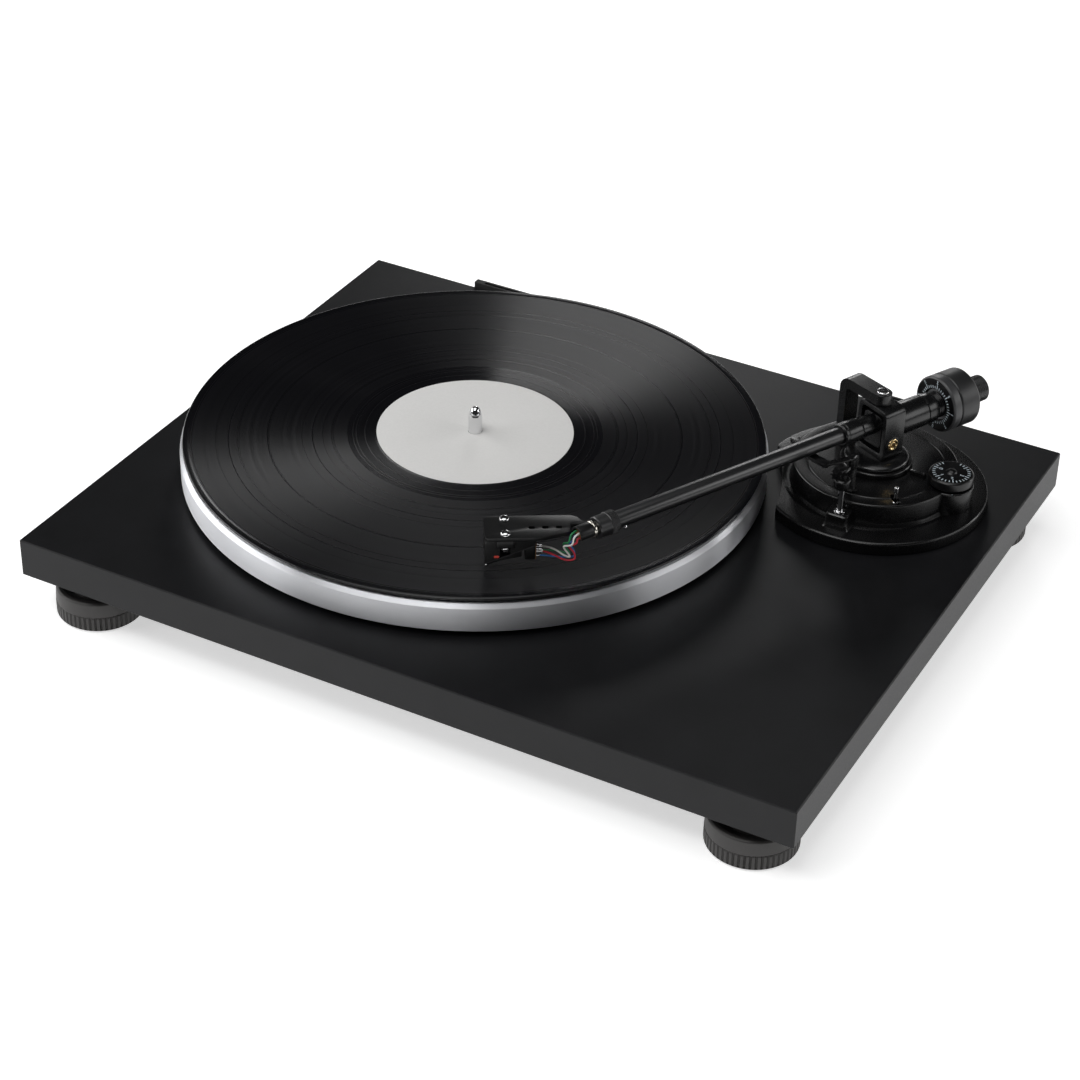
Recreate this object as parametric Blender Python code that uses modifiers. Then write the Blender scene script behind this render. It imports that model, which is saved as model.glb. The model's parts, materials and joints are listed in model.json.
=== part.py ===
"""A belt-drive turntable record player with a straight tonearm, built as one named solid for each sub-part.

Sizes are millimetres and degrees, turned into Blender's metres when a mesh is made. +Z is up, the front is -Y,
the feet stand on z = 0 and the whole object's box is centred on the origin in X and Y.
"""

import math

import bmesh
import bpy
from mathutils import Matrix, Vector

MM = 0.001
GAP = 0.3  # between pieces that rest on each other
FIT = 0.1  # between a pin or bush and its hole
CUT = 2.0  # how far a cutter runs past the wall it cuts
WIDE, ROUND, SMALL, FINE = 48, 22, 12, 8  # flats around discs, posts, pins and wires
SHARP_ANGLE = 35.0

# Plinth and feet
PLINTH_W, PLINTH_D, PLINTH_H = 423.0, 343.0, 21.0
PLINTH_EDGE = 0.6
REAR_PROUD = 8.5  # sockets behind the rear face
FOOT_H, FOOT_R = 24.0, 22.3
FOOT_SIDE_INSET, FOOT_END_INSET = 29.5, 23.5
FOOT_NECK_R, FOOT_SHOULDER_Z, FOOT_DISH = 13.5, 17.0, 2.6
BOTTOM_Z = FOOT_H
TOP_Z = FOOT_H + PLINTH_H
PLINTH_Y = -REAR_PROUD / 2
REAR_Y = PLINTH_Y + PLINTH_D / 2
FRONT_Y = PLINTH_Y - PLINTH_D / 2

# Platter stack, around the spindle
SPINDLE_X, SPINDLE_Y = -50.0, -1.0
RECORD_R, RECORD_TOP, RECORD_T = 150.6, TOP_Z + 21.4, 1.7
LABEL_R, LABEL_T = 51.0, 0.25
MAT_R, MAT_T = 148.0, 1.2
MAT_TOP = RECORD_TOP - RECORD_T - 0.2
PLATTER_TOP = MAT_TOP - MAT_T - 0.2
PLATTER_R, PLATTER_LAND_R, PLATTER_BOTTOM = 152.0, 150.0, TOP_Z + 2.8
PLATTER_ROOF, PLATTER_RECESS_R = 4.0, 143.0
SPINDLE_R, SPINDLE_TOP, SPINDLE_NOSE = 3.6, RECORD_TOP + 15.5, 6.9
BEARING_R, BEARING_CAP_R, BEARING_BOTTOM = 11.3, 20.0, BOTTOM_Z + 1.0
SUB_R, SUB_TOP = 70.0, PLATTER_TOP - PLATTER_ROOF - GAP
SUB_RIM_BOTTOM, SUB_HUB_BOTTOM = TOP_Z + 5.5, TOP_Z + 3.2
PULLEY_R, PULLEY_REACH, PULLEY_ANGLE = 6.0, 98.0, 135.0
BELT_T, BELT_CLEAR, BELT_LOW, BELT_HIGH = 0.7, 0.35, TOP_Z + 6.6, TOP_Z + 11.2
MOTOR_R, MOTOR_FLANGE_R = 18.0, 24.0

# Tonearm, measured from its vertical pivot
PIVOT_X, PIVOT_Y = 139.8, 80.8
ARM_HEADING = 243.7  # the way the tube points at rest
PARK_HEADING = 270.0
BASE_R, BASE_TOP, BASE_RELIEF_R = 58.6, TOP_Z + 7.0, 159.8  # the relief clears the platter's rim
DECK_R, DECK_TOP = 42.4, TOP_Z + 19.0
STEM_R, STEM_BOTTOM = 15.0, BOTTOM_Z + 2.0
COLLAR_R, COLLAR_TOP = 18.5, TOP_Z + 22.0
PIVOT_SHAFT_R = 4.0
AXLE_Z, AXLE_R = TOP_Z + 34.5, 2.0
TUBE_Z, TUBE_R, TUBE_WALL = TOP_Z + 43.6, 4.3, 0.8
STUB_Z = TOP_Z + 40.3
YOKE_FRONT, YOKE_REAR, YOKE_HALF = 5.7, -7.3, 10.6
YOKE_LOW, YOKE_TOP = TOP_Z + 24.5, TOP_Z + 54.0
YOKE_WALL, YOKE_CORNER = 2.6, 5.0
HUB_HALF_Y, HUB_HALF_X, HUB_LOW = 6.8, 5.0, TOP_Z + 31.0
SLEEVE_R, SLEEVE_END, TUBE_START = 6.0, 27.0, 12.0
ARCH_HEADING, ARCH_W, ARCH_T = 157.0, 9.5, 5.6
ARCH_REACH, ARCH_LEG_T, ARCH_OVERHANG, ARCH_CORNER = 25.6, 4.6, 5.0, 6.0
ARCH_TOP = TOP_Z + 60.0
ARCH_SCREW_R, ARCH_SCREW_SHANK = 3.1, 2.2
STUB_R, STUB_START, STUB_SEAM = 8.25, -9.0, -27.0
THREAD_R, THREAD_START, STUB_END = 7.0, -34.0, -69.7
WEIGHT_R, WEIGHT_FRONT, WEIGHT_REAR = 15.0, -38.0, -56.5
FORCE_DIAL_T, FORCE_BOSS_R = 5.3, 10.0
WEIGHT_BORE_R = 8.3
TUBE_END = 170.0
KNURL_START, KNURL_END, KNURL_R = 168.0, 172.8, 5.9
LOCK_END, LOCK_R = 179.3, 5.5
LUG_X, LUG_R, LUG_OUT = 163.3, 0.9, 1.0

# Headshell: its frame has +X towards the arm, and its origin midway between the cartridge screws
SHELL_REACH, SHELL_HEADING = 180.5, 32.0
SHELL_BACK, SHELL_SIDE = 41.9, -1.6  # the flange's centre in that frame
SHELL_TOP, SHELL_T, SHELL_HALF = TOP_Z + 44.3, 2.0, 9.6
SHELL_NOSE, SHELL_LEFT_END, SHELL_RIGHT_END = -10.0, 33.0, 15.6
SHELL_CORNER = 3.0
FLANGE_R, FLANGE_T, SHANK_R, SHANK_LENGTH = 4.3, 1.8, 3.0, 9.5
PLUG_R, PLUG_LENGTH, PLUG_CLEARANCE = 2.8, 6.6, 0.5
SCREW_PITCH, SCREW_HEAD_R, SCREW_HEAD_T, SCREW_R = 12.7, 2.5, 1.5, 1.2
LIGHTENING_HOLES = (12.7, 19.2, 25.7)
LIGHTENING_R, LIGHTENING_Y = 1.25, -0.7
CARTRIDGE_HALF, CARTRIDGE_TOP = 6.2, SHELL_TOP - SHELL_T - GAP
CARTRIDGE_NOSE, CARTRIDGE_TAIL = -9.8, 14.5
CHIN_Z, HEEL_Z, HEEL_X = TOP_Z + 27.3, TOP_Z + 37.1, 13.8
STYLUS_BACK = 8.0
BLOCK_START, BLOCK_HALF, BLOCK_LOW = 9.4, 4.6, TOP_Z + 28.6
PIN_Z, PIN_ROW, PIN_LANE = TOP_Z + 30.6, 1.1, 2.2
EAR_HALF, EAR_LENGTH, EAR_T = 8.9, 9.0, 4.2
NUT_R, NUT_BORE_R, NUT_T = 2.2, 1.45, 1.7
STYLUS_TIP_Z = RECORD_TOP + GAP
STYLUS_HALF = 4.4
WIRE_R, LEAD_SPREAD, LEAD_STEPS = 0.45, 1.3, 2

# Cueing, arm rest and bias dial, from the vertical pivot
LIFT_REACH, LIFT_HEADING, LIFT_R = 31.5, 268.0, 2.6
LIFT_PISTON_R, LIFT_CAP_R = 1.7, 2.9
LIFT_CAP_DROP = 0.8  # the cap sits below the bar, because the raised arm is lower nearer its pivot
LIFT_BAR_R, LIFT_BAR_W, LIFT_BAR_T = 45.2, 4.5, 2.0
LIFT_BAR_FROM, LIFT_BAR_TO = 222.0, 259.0
LIFT_TOP = TUBE_Z - TUBE_R - GAP
CUE_X, CUE_Y, CUE_HEADING = 22.6, -28.8, -52.0
CUE_PIVOT_Z, CUE_TOP_Z, CUE_R = DECK_TOP - 2.4, DECK_TOP + 7.6, 1.15
CUE_SLOT_L, CUE_SLOT_W, CUE_SLOT_DEPTH = 10.0, 3.6, 6.0
REST_REACH = 46.0
REST_BASE_W, REST_BASE_TOP, REST_FLARE = 11.5, TOP_Z + 14.5, 1.6
REST_ROD_R, REST_CAP_R, REST_CAP_Z, REST_CAP_T = 1.7, 4.2, TOP_Z + 28.5, 5.6
REST_SADDLE_R, REST_SADDLE_T, REST_SADDLE_W, REST_WALL_TOP = 4.7, 1.7, 6.0, TOP_Z + 47.5
LUG_REACH, LUG_T, CLIP_PIN_R = 4.7, 3.2, 0.7
CLIP_T, CLIP_LENGTH, CLIP_H, CLIP_Z = 0.9, 6.5, 2.0, TOP_Z + 35.6
CLIP_SETBACK = 1.0
BIAS_X, BIAS_Y, BIAS_BOSS_R, BIAS_R = 40.6, 0.4, 12.0, 11.5
BIAS_LOW, BIAS_TOP, BIAS_PIN_R, BIAS_HUB_R = DECK_TOP + 0.9, TOP_Z + 25.2, 2.0, 3.0
LINK_FROM, LINK_TO, LINK_HEADING, LINK_W, LINK_T = 19.6, 28.4, -4.0, 2.4, 1.6

# Rear sockets and controls
HINGE_X, HINGE_W, HINGE_T, HINGE_LOW, HINGE_HIGH = 125.5, 42.0, 4.4, TOP_Z - 16.0, TOP_Z + 2.6
HINGE_SLOT_W, HINGE_SLOT_T, HINGE_SLOT_DEPTH, HINGE_CHAMFER = 30.0, 2.0, 13.0, 1.0
PANEL_X, PANEL_W, PANEL_H, PANEL_T = 50.0, 98.0, 15.0, 1.6
PANEL_Z = BOTTOM_Z + PLINTH_H / 2
JACK_XS = (88.0, 74.0)
JACK_R, JACK_BORE_R, JACK_FLANGE_R = 4.1, 2.3, 5.0
TERMINAL_X, TERMINAL_R, TERMINAL_STUD_R = 59.0, 4.0, 1.5
GAIN_X, GAIN_W, GAIN_H, GAIN_SLOT = 42.0, 3.0, 3.6, 7.0
INLET_X, INLET_W, INLET_H, INLET_BORE_R = 16.0, 10.0, 11.0, 2.7
BOARD_W, BOARD_D, BOARD_T, BOARD_Z = 80.0, 46.0, 1.6, BOTTOM_Z + 8.0
BOARD_SETBACK = 6.0
CHIPS = ((-30, -10, 7, 5, 2.2), (-8, -8, 5, 5, 1.6), (14, -10, 9, 6, 3.0),
         (30, 6, 5, 5, 3.8), (-24, 12, 4, 6, 3.4))  # centre x, y, half width, half depth, height
POCKET_W, POCKET_D, POCKET_DEPTH = 92.0, 70.0, 14.0
POCKET_FRONT = REAR_Y - PANEL_T - POCKET_D
BOARD_Y = POCKET_FRONT + BOARD_D / 2 + BOARD_SETBACK
STANDOFF_R, STANDOFF_INSET = 2.6, 4.0
COVER_W, COVER_D, COVER_T, COVER_Y = 318.0, 250.0, 1.2, 40.0
COVER_CORNER, VENT_PITCH, VENT_L, VENT_W = 8.0, 6.0, 28.0, 2.8
KNOB_X, KNOB_Y, KNOB_R, KNOB_H = -120.0, FRONT_Y + 26.0, 9.0, 7.5

# Colours
BLACK, SATIN, CHARCOAL, WHITE = (0.012, 0.012, 0.013), (0.03, 0.031, 0.034), (0.06, 0.06, 0.062), (0.86, 0.86, 0.85)
ALUMINIUM, CHROME, BRASS = (0.72, 0.72, 0.73), (0.8, 0.8, 0.82), (0.78, 0.57, 0.28)
GREEN, RED, BROWN = (0.02, 0.12, 0.05), (0.6, 0.03, 0.03), (0.3, 0.17, 0.07)
LEAD_COLOURS = {"lead_white": WHITE, "lead_red": RED, "lead_green": (0.02, 0.25, 0.08), "lead_blue": (0.02, 0.12, 0.5)}


# Helpers


def unit(heading):
    return Vector((math.cos(math.radians(heading)), math.sin(math.radians(heading)), 0))


def cylinder(radius, low, high):
    """The profile of a plain cylinder, top to bottom."""
    return [(0, high), (radius, high), (radius, low), (0, low)]


def ring(inner, outer, low, high):
    """The closed profile of a plain ring, down the outer side and up the inner one."""
    return [(outer, high), (outer, low), (inner, low), (inner, high), (outer, high)]


def arc(centre, radius, start, end, steps):
    """Points on an arc, from one angle to another."""
    turns = [math.radians(start + (end - start) * i / steps) for i in range(steps + 1)]
    return [(centre[0] + radius * math.cos(t), centre[1] + radius * math.sin(t)) for t in turns]


def rounded_rectangle(x0, x1, y0, y1, radius, steps=4):
    """A rectangle's outline with its corners rounded, counterclockwise."""
    corners = ((x1 - radius, y0 + radius, -90), (x1 - radius, y1 - radius, 0),
               (x0 + radius, y1 - radius, 90), (x0 + radius, y0 + radius, 180))
    points = []
    for x, y, start in corners:
        points += arc((x, y), radius, start, start + 90, steps)
    return points


def add_object(name, data, parent=None, at=(0, 0, 0), turn=(0, 0, 0), where="Turntable"):
    obj = bpy.data.objects.new(name, data)
    bpy.data.collections[where].objects.link(obj)
    obj.parent = parent
    obj.location = Vector(at) * MM
    obj.rotation_euler = [math.radians(angle) for angle in turn]
    return obj


def frame(name, parent=None, at=(0, 0, 0), turn=(0, 0, 0)):
    """An empty that carries the pieces of one moving group."""
    return add_object(name, None, parent, at, turn)


def lathe(name, profile, steps=ROUND, **place):
    """A solid of revolution about local Z, from a profile in millimetres."""
    mesh = bpy.data.meshes.new(name)
    closed = profile[0] == profile[-1]
    points = profile[:-1] if closed else profile
    edges = [(i, i + 1) for i in range(len(points) - 1)]
    if closed:
        edges.append((len(points) - 1, 0))
    mesh.from_pydata([(r * MM, 0, z * MM) for r, z in points], edges, [])
    obj = add_object(name, mesh, **place)
    screw = obj.modifiers.new("Turned", "SCREW")
    screw.axis = "Z"
    screw.steps = steps
    screw.render_steps = steps
    screw.use_merge_vertices = True
    screw.merge_threshold = 0.00001
    return obj


def lathe_x(name, profile, steps=ROUND, at=(0, 0, 0), **place):
    """A solid of revolution about the parent's X axis: the profile's height runs along +X."""
    return lathe(name, profile, steps, at=at, turn=(0, 90, 0), **place)


def prism(name, outline, low, high, **place):
    """A flat outline given a thickness along local Z."""
    curve = bpy.data.curves.new(name, "CURVE")
    curve.dimensions = "2D"
    curve.fill_mode = "BOTH"
    curve.extrude = (high - low) / 2 * MM
    spline = curve.splines.new("POLY")
    spline.points.add(len(outline) - 1)
    for point, (x, y) in zip(spline.points, outline):
        point.co = (x * MM, y * MM, 0, 1)
    spline.use_cyclic_u = True
    obj = bake(add_object(name, curve, **place))
    obj.data.transform(Matrix.Translation((0, 0, (low + high) / 2 * MM)))
    return obj


def box(name, x, y, z, **place):
    """A box from three (low, high) pairs."""
    mesh = bpy.data.meshes.new(name)
    shape = bmesh.new()
    bmesh.ops.create_cube(shape, size=MM)
    spans = (x, y, z)
    bmesh.ops.scale(shape, vec=[high - low for low, high in spans], verts=shape.verts)
    bmesh.ops.translate(shape, vec=[(low + high) / 2 * MM for low, high in spans], verts=shape.verts)
    shape.to_mesh(mesh)
    shape.free()
    return add_object(name, mesh, **place)


def upright(name, outline, y0, y1, **place):
    """An outline in the parent's XZ plane, given a width along its Y axis."""
    return prism(name, outline, -y1, -y0, turn=(90, 0, 0), **place)


def wire(name, points, radius, **place):
    """A round wire through hand-chosen points."""
    data = bpy.data.curves.new(name, "CURVE")
    data.dimensions = "3D"
    data.bevel_depth = radius * MM
    data.bevel_resolution = 2
    data.use_fill_caps = True
    spline = data.splines.new("POLY")
    spline.points.add(len(points) - 1)
    for point, place_at in zip(spline.points, points):
        point.co = (*(Vector(place_at) * MM), 1)
    return add_object(name, data, **place)


def bake(obj):
    """Turns a curve or an object with modifiers into a plain closed mesh, with every face looking outwards."""
    bpy.context.view_layer.update()
    mesh = bpy.data.meshes.new_from_object(obj.evaluated_get(bpy.context.evaluated_depsgraph_get()))
    shape = bmesh.new()
    shape.from_mesh(mesh)
    bmesh.ops.remove_doubles(shape, verts=shape.verts, dist=MM * 0.0005)
    bmesh.ops.recalc_face_normals(shape, faces=shape.faces)
    shape.to_mesh(mesh)
    shape.free()
    if obj.type == "MESH":
        obj.modifiers.clear()
        obj.data = mesh
        return obj
    name, home = obj.name, obj.users_collection[0]
    solid = bpy.data.objects.new(name + "_solid", mesh)
    home.objects.link(solid)
    solid.parent = obj.parent
    solid.location = obj.location
    solid.rotation_euler = obj.rotation_euler
    bpy.data.objects.remove(obj)
    solid.name = name
    return solid


def combine(obj, others, operation):
    """Joins, cuts or intersects an object with helper solids, which are then dropped."""
    bake(obj)
    for other in others:
        other = bake(other)
        tool = obj.modifiers.new("Joined", "BOOLEAN")
        tool.operation = operation
        tool.solver = "EXACT"
        tool.object = other
        bake(obj)
        bpy.data.objects.remove(other)
    return obj


def join(obj, *others):
    return combine(obj, others, "UNION")


def cut(obj, *others):
    return combine(obj, others, "DIFFERENCE")


def soften(obj, width, segments=1):
    """A small bevel on the sharp edges."""
    bevel = obj.modifiers.new("Soft edges", "BEVEL")
    bevel.width = width * MM
    bevel.segments = segments
    bevel.limit_method = "ANGLE"
    bevel.angle_limit = math.radians(40)
    return bake(obj)


def finish(colour, roughness, metallic, *objects):
    """Gives each object its own Principled material and smooth shading between its sharp edges."""
    for obj in objects:
        solid = bake(obj)
        material = bpy.data.materials.new(solid.name + "_finish")
        material.use_nodes = True
        shader = material.node_tree.nodes["Principled BSDF"]
        shader.inputs["Base Color"].default_value = (*colour, 1)
        shader.inputs["Roughness"].default_value = roughness
        shader.inputs["Metallic"].default_value = metallic
        solid.data.materials.append(material)
        solid.data.shade_smooth()
        solid.data.set_sharp_from_angle(angle=math.radians(SHARP_ANGLE))


# Plinth, feet and what is under them


def drill(x, y, radius, low=BOTTOM_Z - CUT, high=TOP_Z + CUT, steps=ROUND):
    return lathe("cutter", cylinder(radius, low, high), steps, at=(x, y, 0), where="Cutters")


def motor_place():
    reach = unit(PULLEY_ANGLE) * PULLEY_REACH
    return SPINDLE_X + reach.x, SPINDLE_Y + reach.y


def build_plinth():
    half_w, half_d = PLINTH_W / 2, PLINTH_D / 2
    plinth = box("plinth", (-half_w, half_w), (-half_d, half_d), (BOTTOM_Z, TOP_Z), at=(0, PLINTH_Y, 0))
    soften(plinth, PLINTH_EDGE)
    pocket = box("cutter", (PANEL_X - POCKET_W / 2, PANEL_X + POCKET_W / 2),
                 (POCKET_FRONT, POCKET_FRONT + POCKET_D), (BOTTOM_Z - CUT, BOTTOM_Z + POCKET_DEPTH), where="Cutters")
    seat = box("cutter", (PANEL_X - PANEL_W / 2 - GAP, PANEL_X + PANEL_W / 2 + GAP),
               (REAR_Y - PANEL_T - GAP, REAR_Y + CUT),
               (PANEL_Z - PANEL_H / 2 - GAP, PANEL_Z + PANEL_H / 2 + GAP), where="Cutters")
    motor_x, motor_y = motor_place()
    return cut(plinth, pocket, seat,
               drill(SPINDLE_X, SPINDLE_Y, BEARING_R + GAP),
               drill(motor_x, motor_y, MOTOR_R + GAP),
               drill(PIVOT_X, PIVOT_Y, STEM_R + GAP),
               drill(KNOB_X, KNOB_Y, AXLE_R + GAP, high=BOTTOM_Z + PLINTH_H / 2, steps=SMALL))


def build_foot(name, x, y):
    """A cup under a narrow neck, turned on the screw that levels it."""
    profile = [(0, FOOT_H - GAP), (FOOT_NECK_R, FOOT_H - GAP), (FOOT_NECK_R, FOOT_SHOULDER_Z - FOOT_DISH),
               (FOOT_R - 4, FOOT_SHOULDER_Z - FOOT_DISH), (FOOT_R - 3.4, FOOT_SHOULDER_Z),
               (FOOT_R - 1, FOOT_SHOULDER_Z), (FOOT_R, FOOT_SHOULDER_Z - 1), (FOOT_R, 1), (FOOT_R - 1, 0), (0, 0)]
    return lathe(name, profile, at=(x, y, 0))


def build_feet():
    x = PLINTH_W / 2 - FOOT_SIDE_INSET
    y = PLINTH_D / 2 - FOOT_END_INSET
    places = {"fl": (-x, -y), "fr": (x, -y), "rl": (-x, y), "rr": (x, y)}
    return [build_foot("foot_" + key, px, PLINTH_Y + py) for key, (px, py) in places.items()]


def build_bottom_cover():
    cover = prism("bottom_cover", rounded_rectangle(-COVER_W / 2, COVER_W / 2, -COVER_D / 2, COVER_D / 2,
                                                    COVER_CORNER),
                  BOTTOM_Z - GAP - COVER_T, BOTTOM_Z - GAP, at=(0, COVER_Y, 0))
    motor_x, motor_y = motor_place()
    for row in (-2, -1, 0, 1, 2):
        slot = box("cutter", (-VENT_L / 2, VENT_L / 2), (-VENT_W / 2, VENT_W / 2),
                   (BOTTOM_Z - CUT - COVER_T, BOTTOM_Z + CUT), at=(motor_x, motor_y + row * VENT_PITCH, 0),
                   where="Cutters")
        cut(cover, slot)
    x, y = BOARD_W / 2 - STANDOFF_INSET, BOARD_D / 2 - STANDOFF_INSET
    standoffs = [lathe("standoff", cylinder(STANDOFF_R, BOTTOM_Z - GAP - COVER_T / 2, BOARD_Z - GAP), FINE,
                       at=(PANEL_X + sx * x, BOARD_Y + sy * y, 0)) for sx in (-1, 1) for sy in (-1, 1)]
    return join(cover, *standoffs)


def build_circuit_board():
    board = box("circuit_board", (-BOARD_W / 2, BOARD_W / 2), (-BOARD_D / 2, BOARD_D / 2),
                (0, BOARD_T), at=(PANEL_X, BOARD_Y, BOARD_Z))
    parts = [box("chip", (x - w, x + w), (y - d, y + d), (BOARD_T / 2, BOARD_T + h),
                 at=(PANEL_X, BOARD_Y, BOARD_Z)) for x, y, w, d, h in CHIPS]
    return join(board, *parts)


def build_speed_knob():
    """The power and speed selector, on a short shaft under the front left edge."""
    high = BOTTOM_Z - GAP
    grip = [(0, BOTTOM_Z + PLINTH_H / 2 - 1), (AXLE_R, BOTTOM_Z + PLINTH_H / 2 - 1), (AXLE_R, high),
            (KNOB_R - 0.8, high), (KNOB_R, high - 0.8), (KNOB_R, high - KNOB_H + 1), (KNOB_R - 1, high - KNOB_H),
            (0, high - KNOB_H)]
    knob = lathe("speed_knob", grip, at=(KNOB_X, KNOB_Y, 0))
    pointer = box("cutter", (-0.6, 0.6), (-KNOB_R - CUT, -KNOB_R / 3), (0, high - KNOB_H + 0.8),
                  at=(KNOB_X, KNOB_Y, 0), where="Cutters")
    return cut(knob, pointer)


# Platter and drive


def build_bearing_housing():
    top = SUB_HUB_BOTTOM - 1
    bore = SPINDLE_R + FIT
    profile = [(bore, top), (BEARING_CAP_R, top), (BEARING_CAP_R, TOP_Z + GAP), (BEARING_R, TOP_Z + GAP),
               (BEARING_R, BEARING_BOTTOM), (0, BEARING_BOTTOM), (0, BEARING_BOTTOM + 2), (bore, BEARING_BOTTOM + 2), (bore, top)]
    return lathe("bearing_housing", profile, at=(SPINDLE_X, SPINDLE_Y, 0))


def build_spindle(parent):
    low = BEARING_BOTTOM + 2 + GAP
    neck = SPINDLE_TOP - SPINDLE_NOSE
    nose = [(SPINDLE_R * math.cos(t), neck + (SPINDLE_NOSE - 1.2) * math.sin(t))
            for t in [math.radians(a) for a in (66, 44, 22, 0)]]
    profile = [(0, SPINDLE_TOP - 1.1)] + nose + [(SPINDLE_R, low + 1), (SPINDLE_R - 1, low), (0, low)]
    return lathe("spindle", profile, parent=parent)


def build_sub_platter(parent):
    bore = SPINDLE_R + FIT
    profile = [(bore, SUB_TOP), (SUB_R, SUB_TOP), (SUB_R, SUB_RIM_BOTTOM), (14, SUB_RIM_BOTTOM),
               (14, SUB_HUB_BOTTOM), (bore, SUB_HUB_BOTTOM), (bore, SUB_TOP)]
    return lathe("sub_platter", profile, WIDE, parent=parent)


def build_platter(parent):
    bore = SPINDLE_R + FIT
    chamfer = PLATTER_R - PLATTER_LAND_R
    roof = PLATTER_TOP - PLATTER_ROOF
    profile = [(bore, PLATTER_TOP), (PLATTER_LAND_R, PLATTER_TOP), (PLATTER_R, PLATTER_TOP - chamfer),
               (PLATTER_R, PLATTER_BOTTOM + 0.6), (PLATTER_R - 0.6, PLATTER_BOTTOM),
               (PLATTER_RECESS_R, PLATTER_BOTTOM), (PLATTER_RECESS_R, roof), (bore, roof), (bore, PLATTER_TOP)]
    return lathe("platter", profile, WIDE, parent=parent)


def build_record(parent):
    """A disc with a raised rim, so that the grooved part and the label sit a little lower."""
    bore, low, seat = SPINDLE_R + FIT, RECORD_TOP - RECORD_T, RECORD_TOP - LABEL_T
    rim = RECORD_R - 2.2
    profile = [(bore, seat), (rim - 3, seat), (rim, RECORD_TOP), (RECORD_R - 0.6, RECORD_TOP),
               (RECORD_R, RECORD_TOP - 0.6), (RECORD_R, low + 0.4), (RECORD_R - 0.4, low), (bore, low), (bore, seat)]
    return lathe("record", profile, WIDE, parent=parent)


def build_record_label(parent):
    low = RECORD_TOP - LABEL_T + 0.05
    return lathe("record_label", ring(SPINDLE_R + FIT, LABEL_R, low, low + LABEL_T), 36, parent=parent)


def build_slipmat(parent):
    return lathe("slipmat", ring(SPINDLE_R + FIT, MAT_R, MAT_TOP - MAT_T, MAT_TOP), 36, parent=parent)


def build_motor():
    x, y = motor_place()
    top, bore = TOP_Z + 1.8, 1.0 + FIT
    profile = [(bore, top), (MOTOR_FLANGE_R, top), (MOTOR_FLANGE_R, TOP_Z + GAP), (MOTOR_R, TOP_Z + GAP),
               (MOTOR_R, BOTTOM_Z + 1), (0, BOTTOM_Z + 1), (0, TOP_Z - 6), (bore, TOP_Z - 6), (bore, top)]
    return lathe("motor", profile, at=(x, y, 0))


def build_motor_pulley():
    x, y = motor_place()
    top, low = BELT_HIGH + 1.6, BELT_LOW - 1.6
    profile = [(0, top), (PULLEY_R + 0.9, top), (PULLEY_R, BELT_HIGH + 0.4), (PULLEY_R, BELT_LOW - 0.4),
               (PULLEY_R + 0.9, low), (1, low), (1, TOP_Z - 5.5), (0, TOP_Z - 5.5)]
    return lathe("motor_pulley", profile, SMALL + 4, at=(x, y, 0))


def belt_outline(offset):
    """The taut outline around the sub-platter and the pulley, in a frame that points at the pulley."""
    large, small = SUB_R + offset, PULLEY_R + offset
    tangent = math.degrees(math.acos((large - small) / PULLEY_REACH))
    return (arc((0, 0), large, tangent, 360 - tangent, 40)
            + arc((PULLEY_REACH, 0), small, -tangent, tangent, 6))


def build_drive_belt():
    place = {"at": (SPINDLE_X, SPINDLE_Y, 0), "turn": (0, 0, PULLEY_ANGLE)}
    belt = prism("drive_belt", belt_outline(BELT_CLEAR + BELT_T), BELT_LOW, BELT_HIGH, **place)
    inner = prism("cutter", belt_outline(BELT_CLEAR), BELT_LOW - CUT, BELT_HIGH + CUT, where="Cutters", **place)
    return cut(belt, inner)


# Tonearm base


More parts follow.
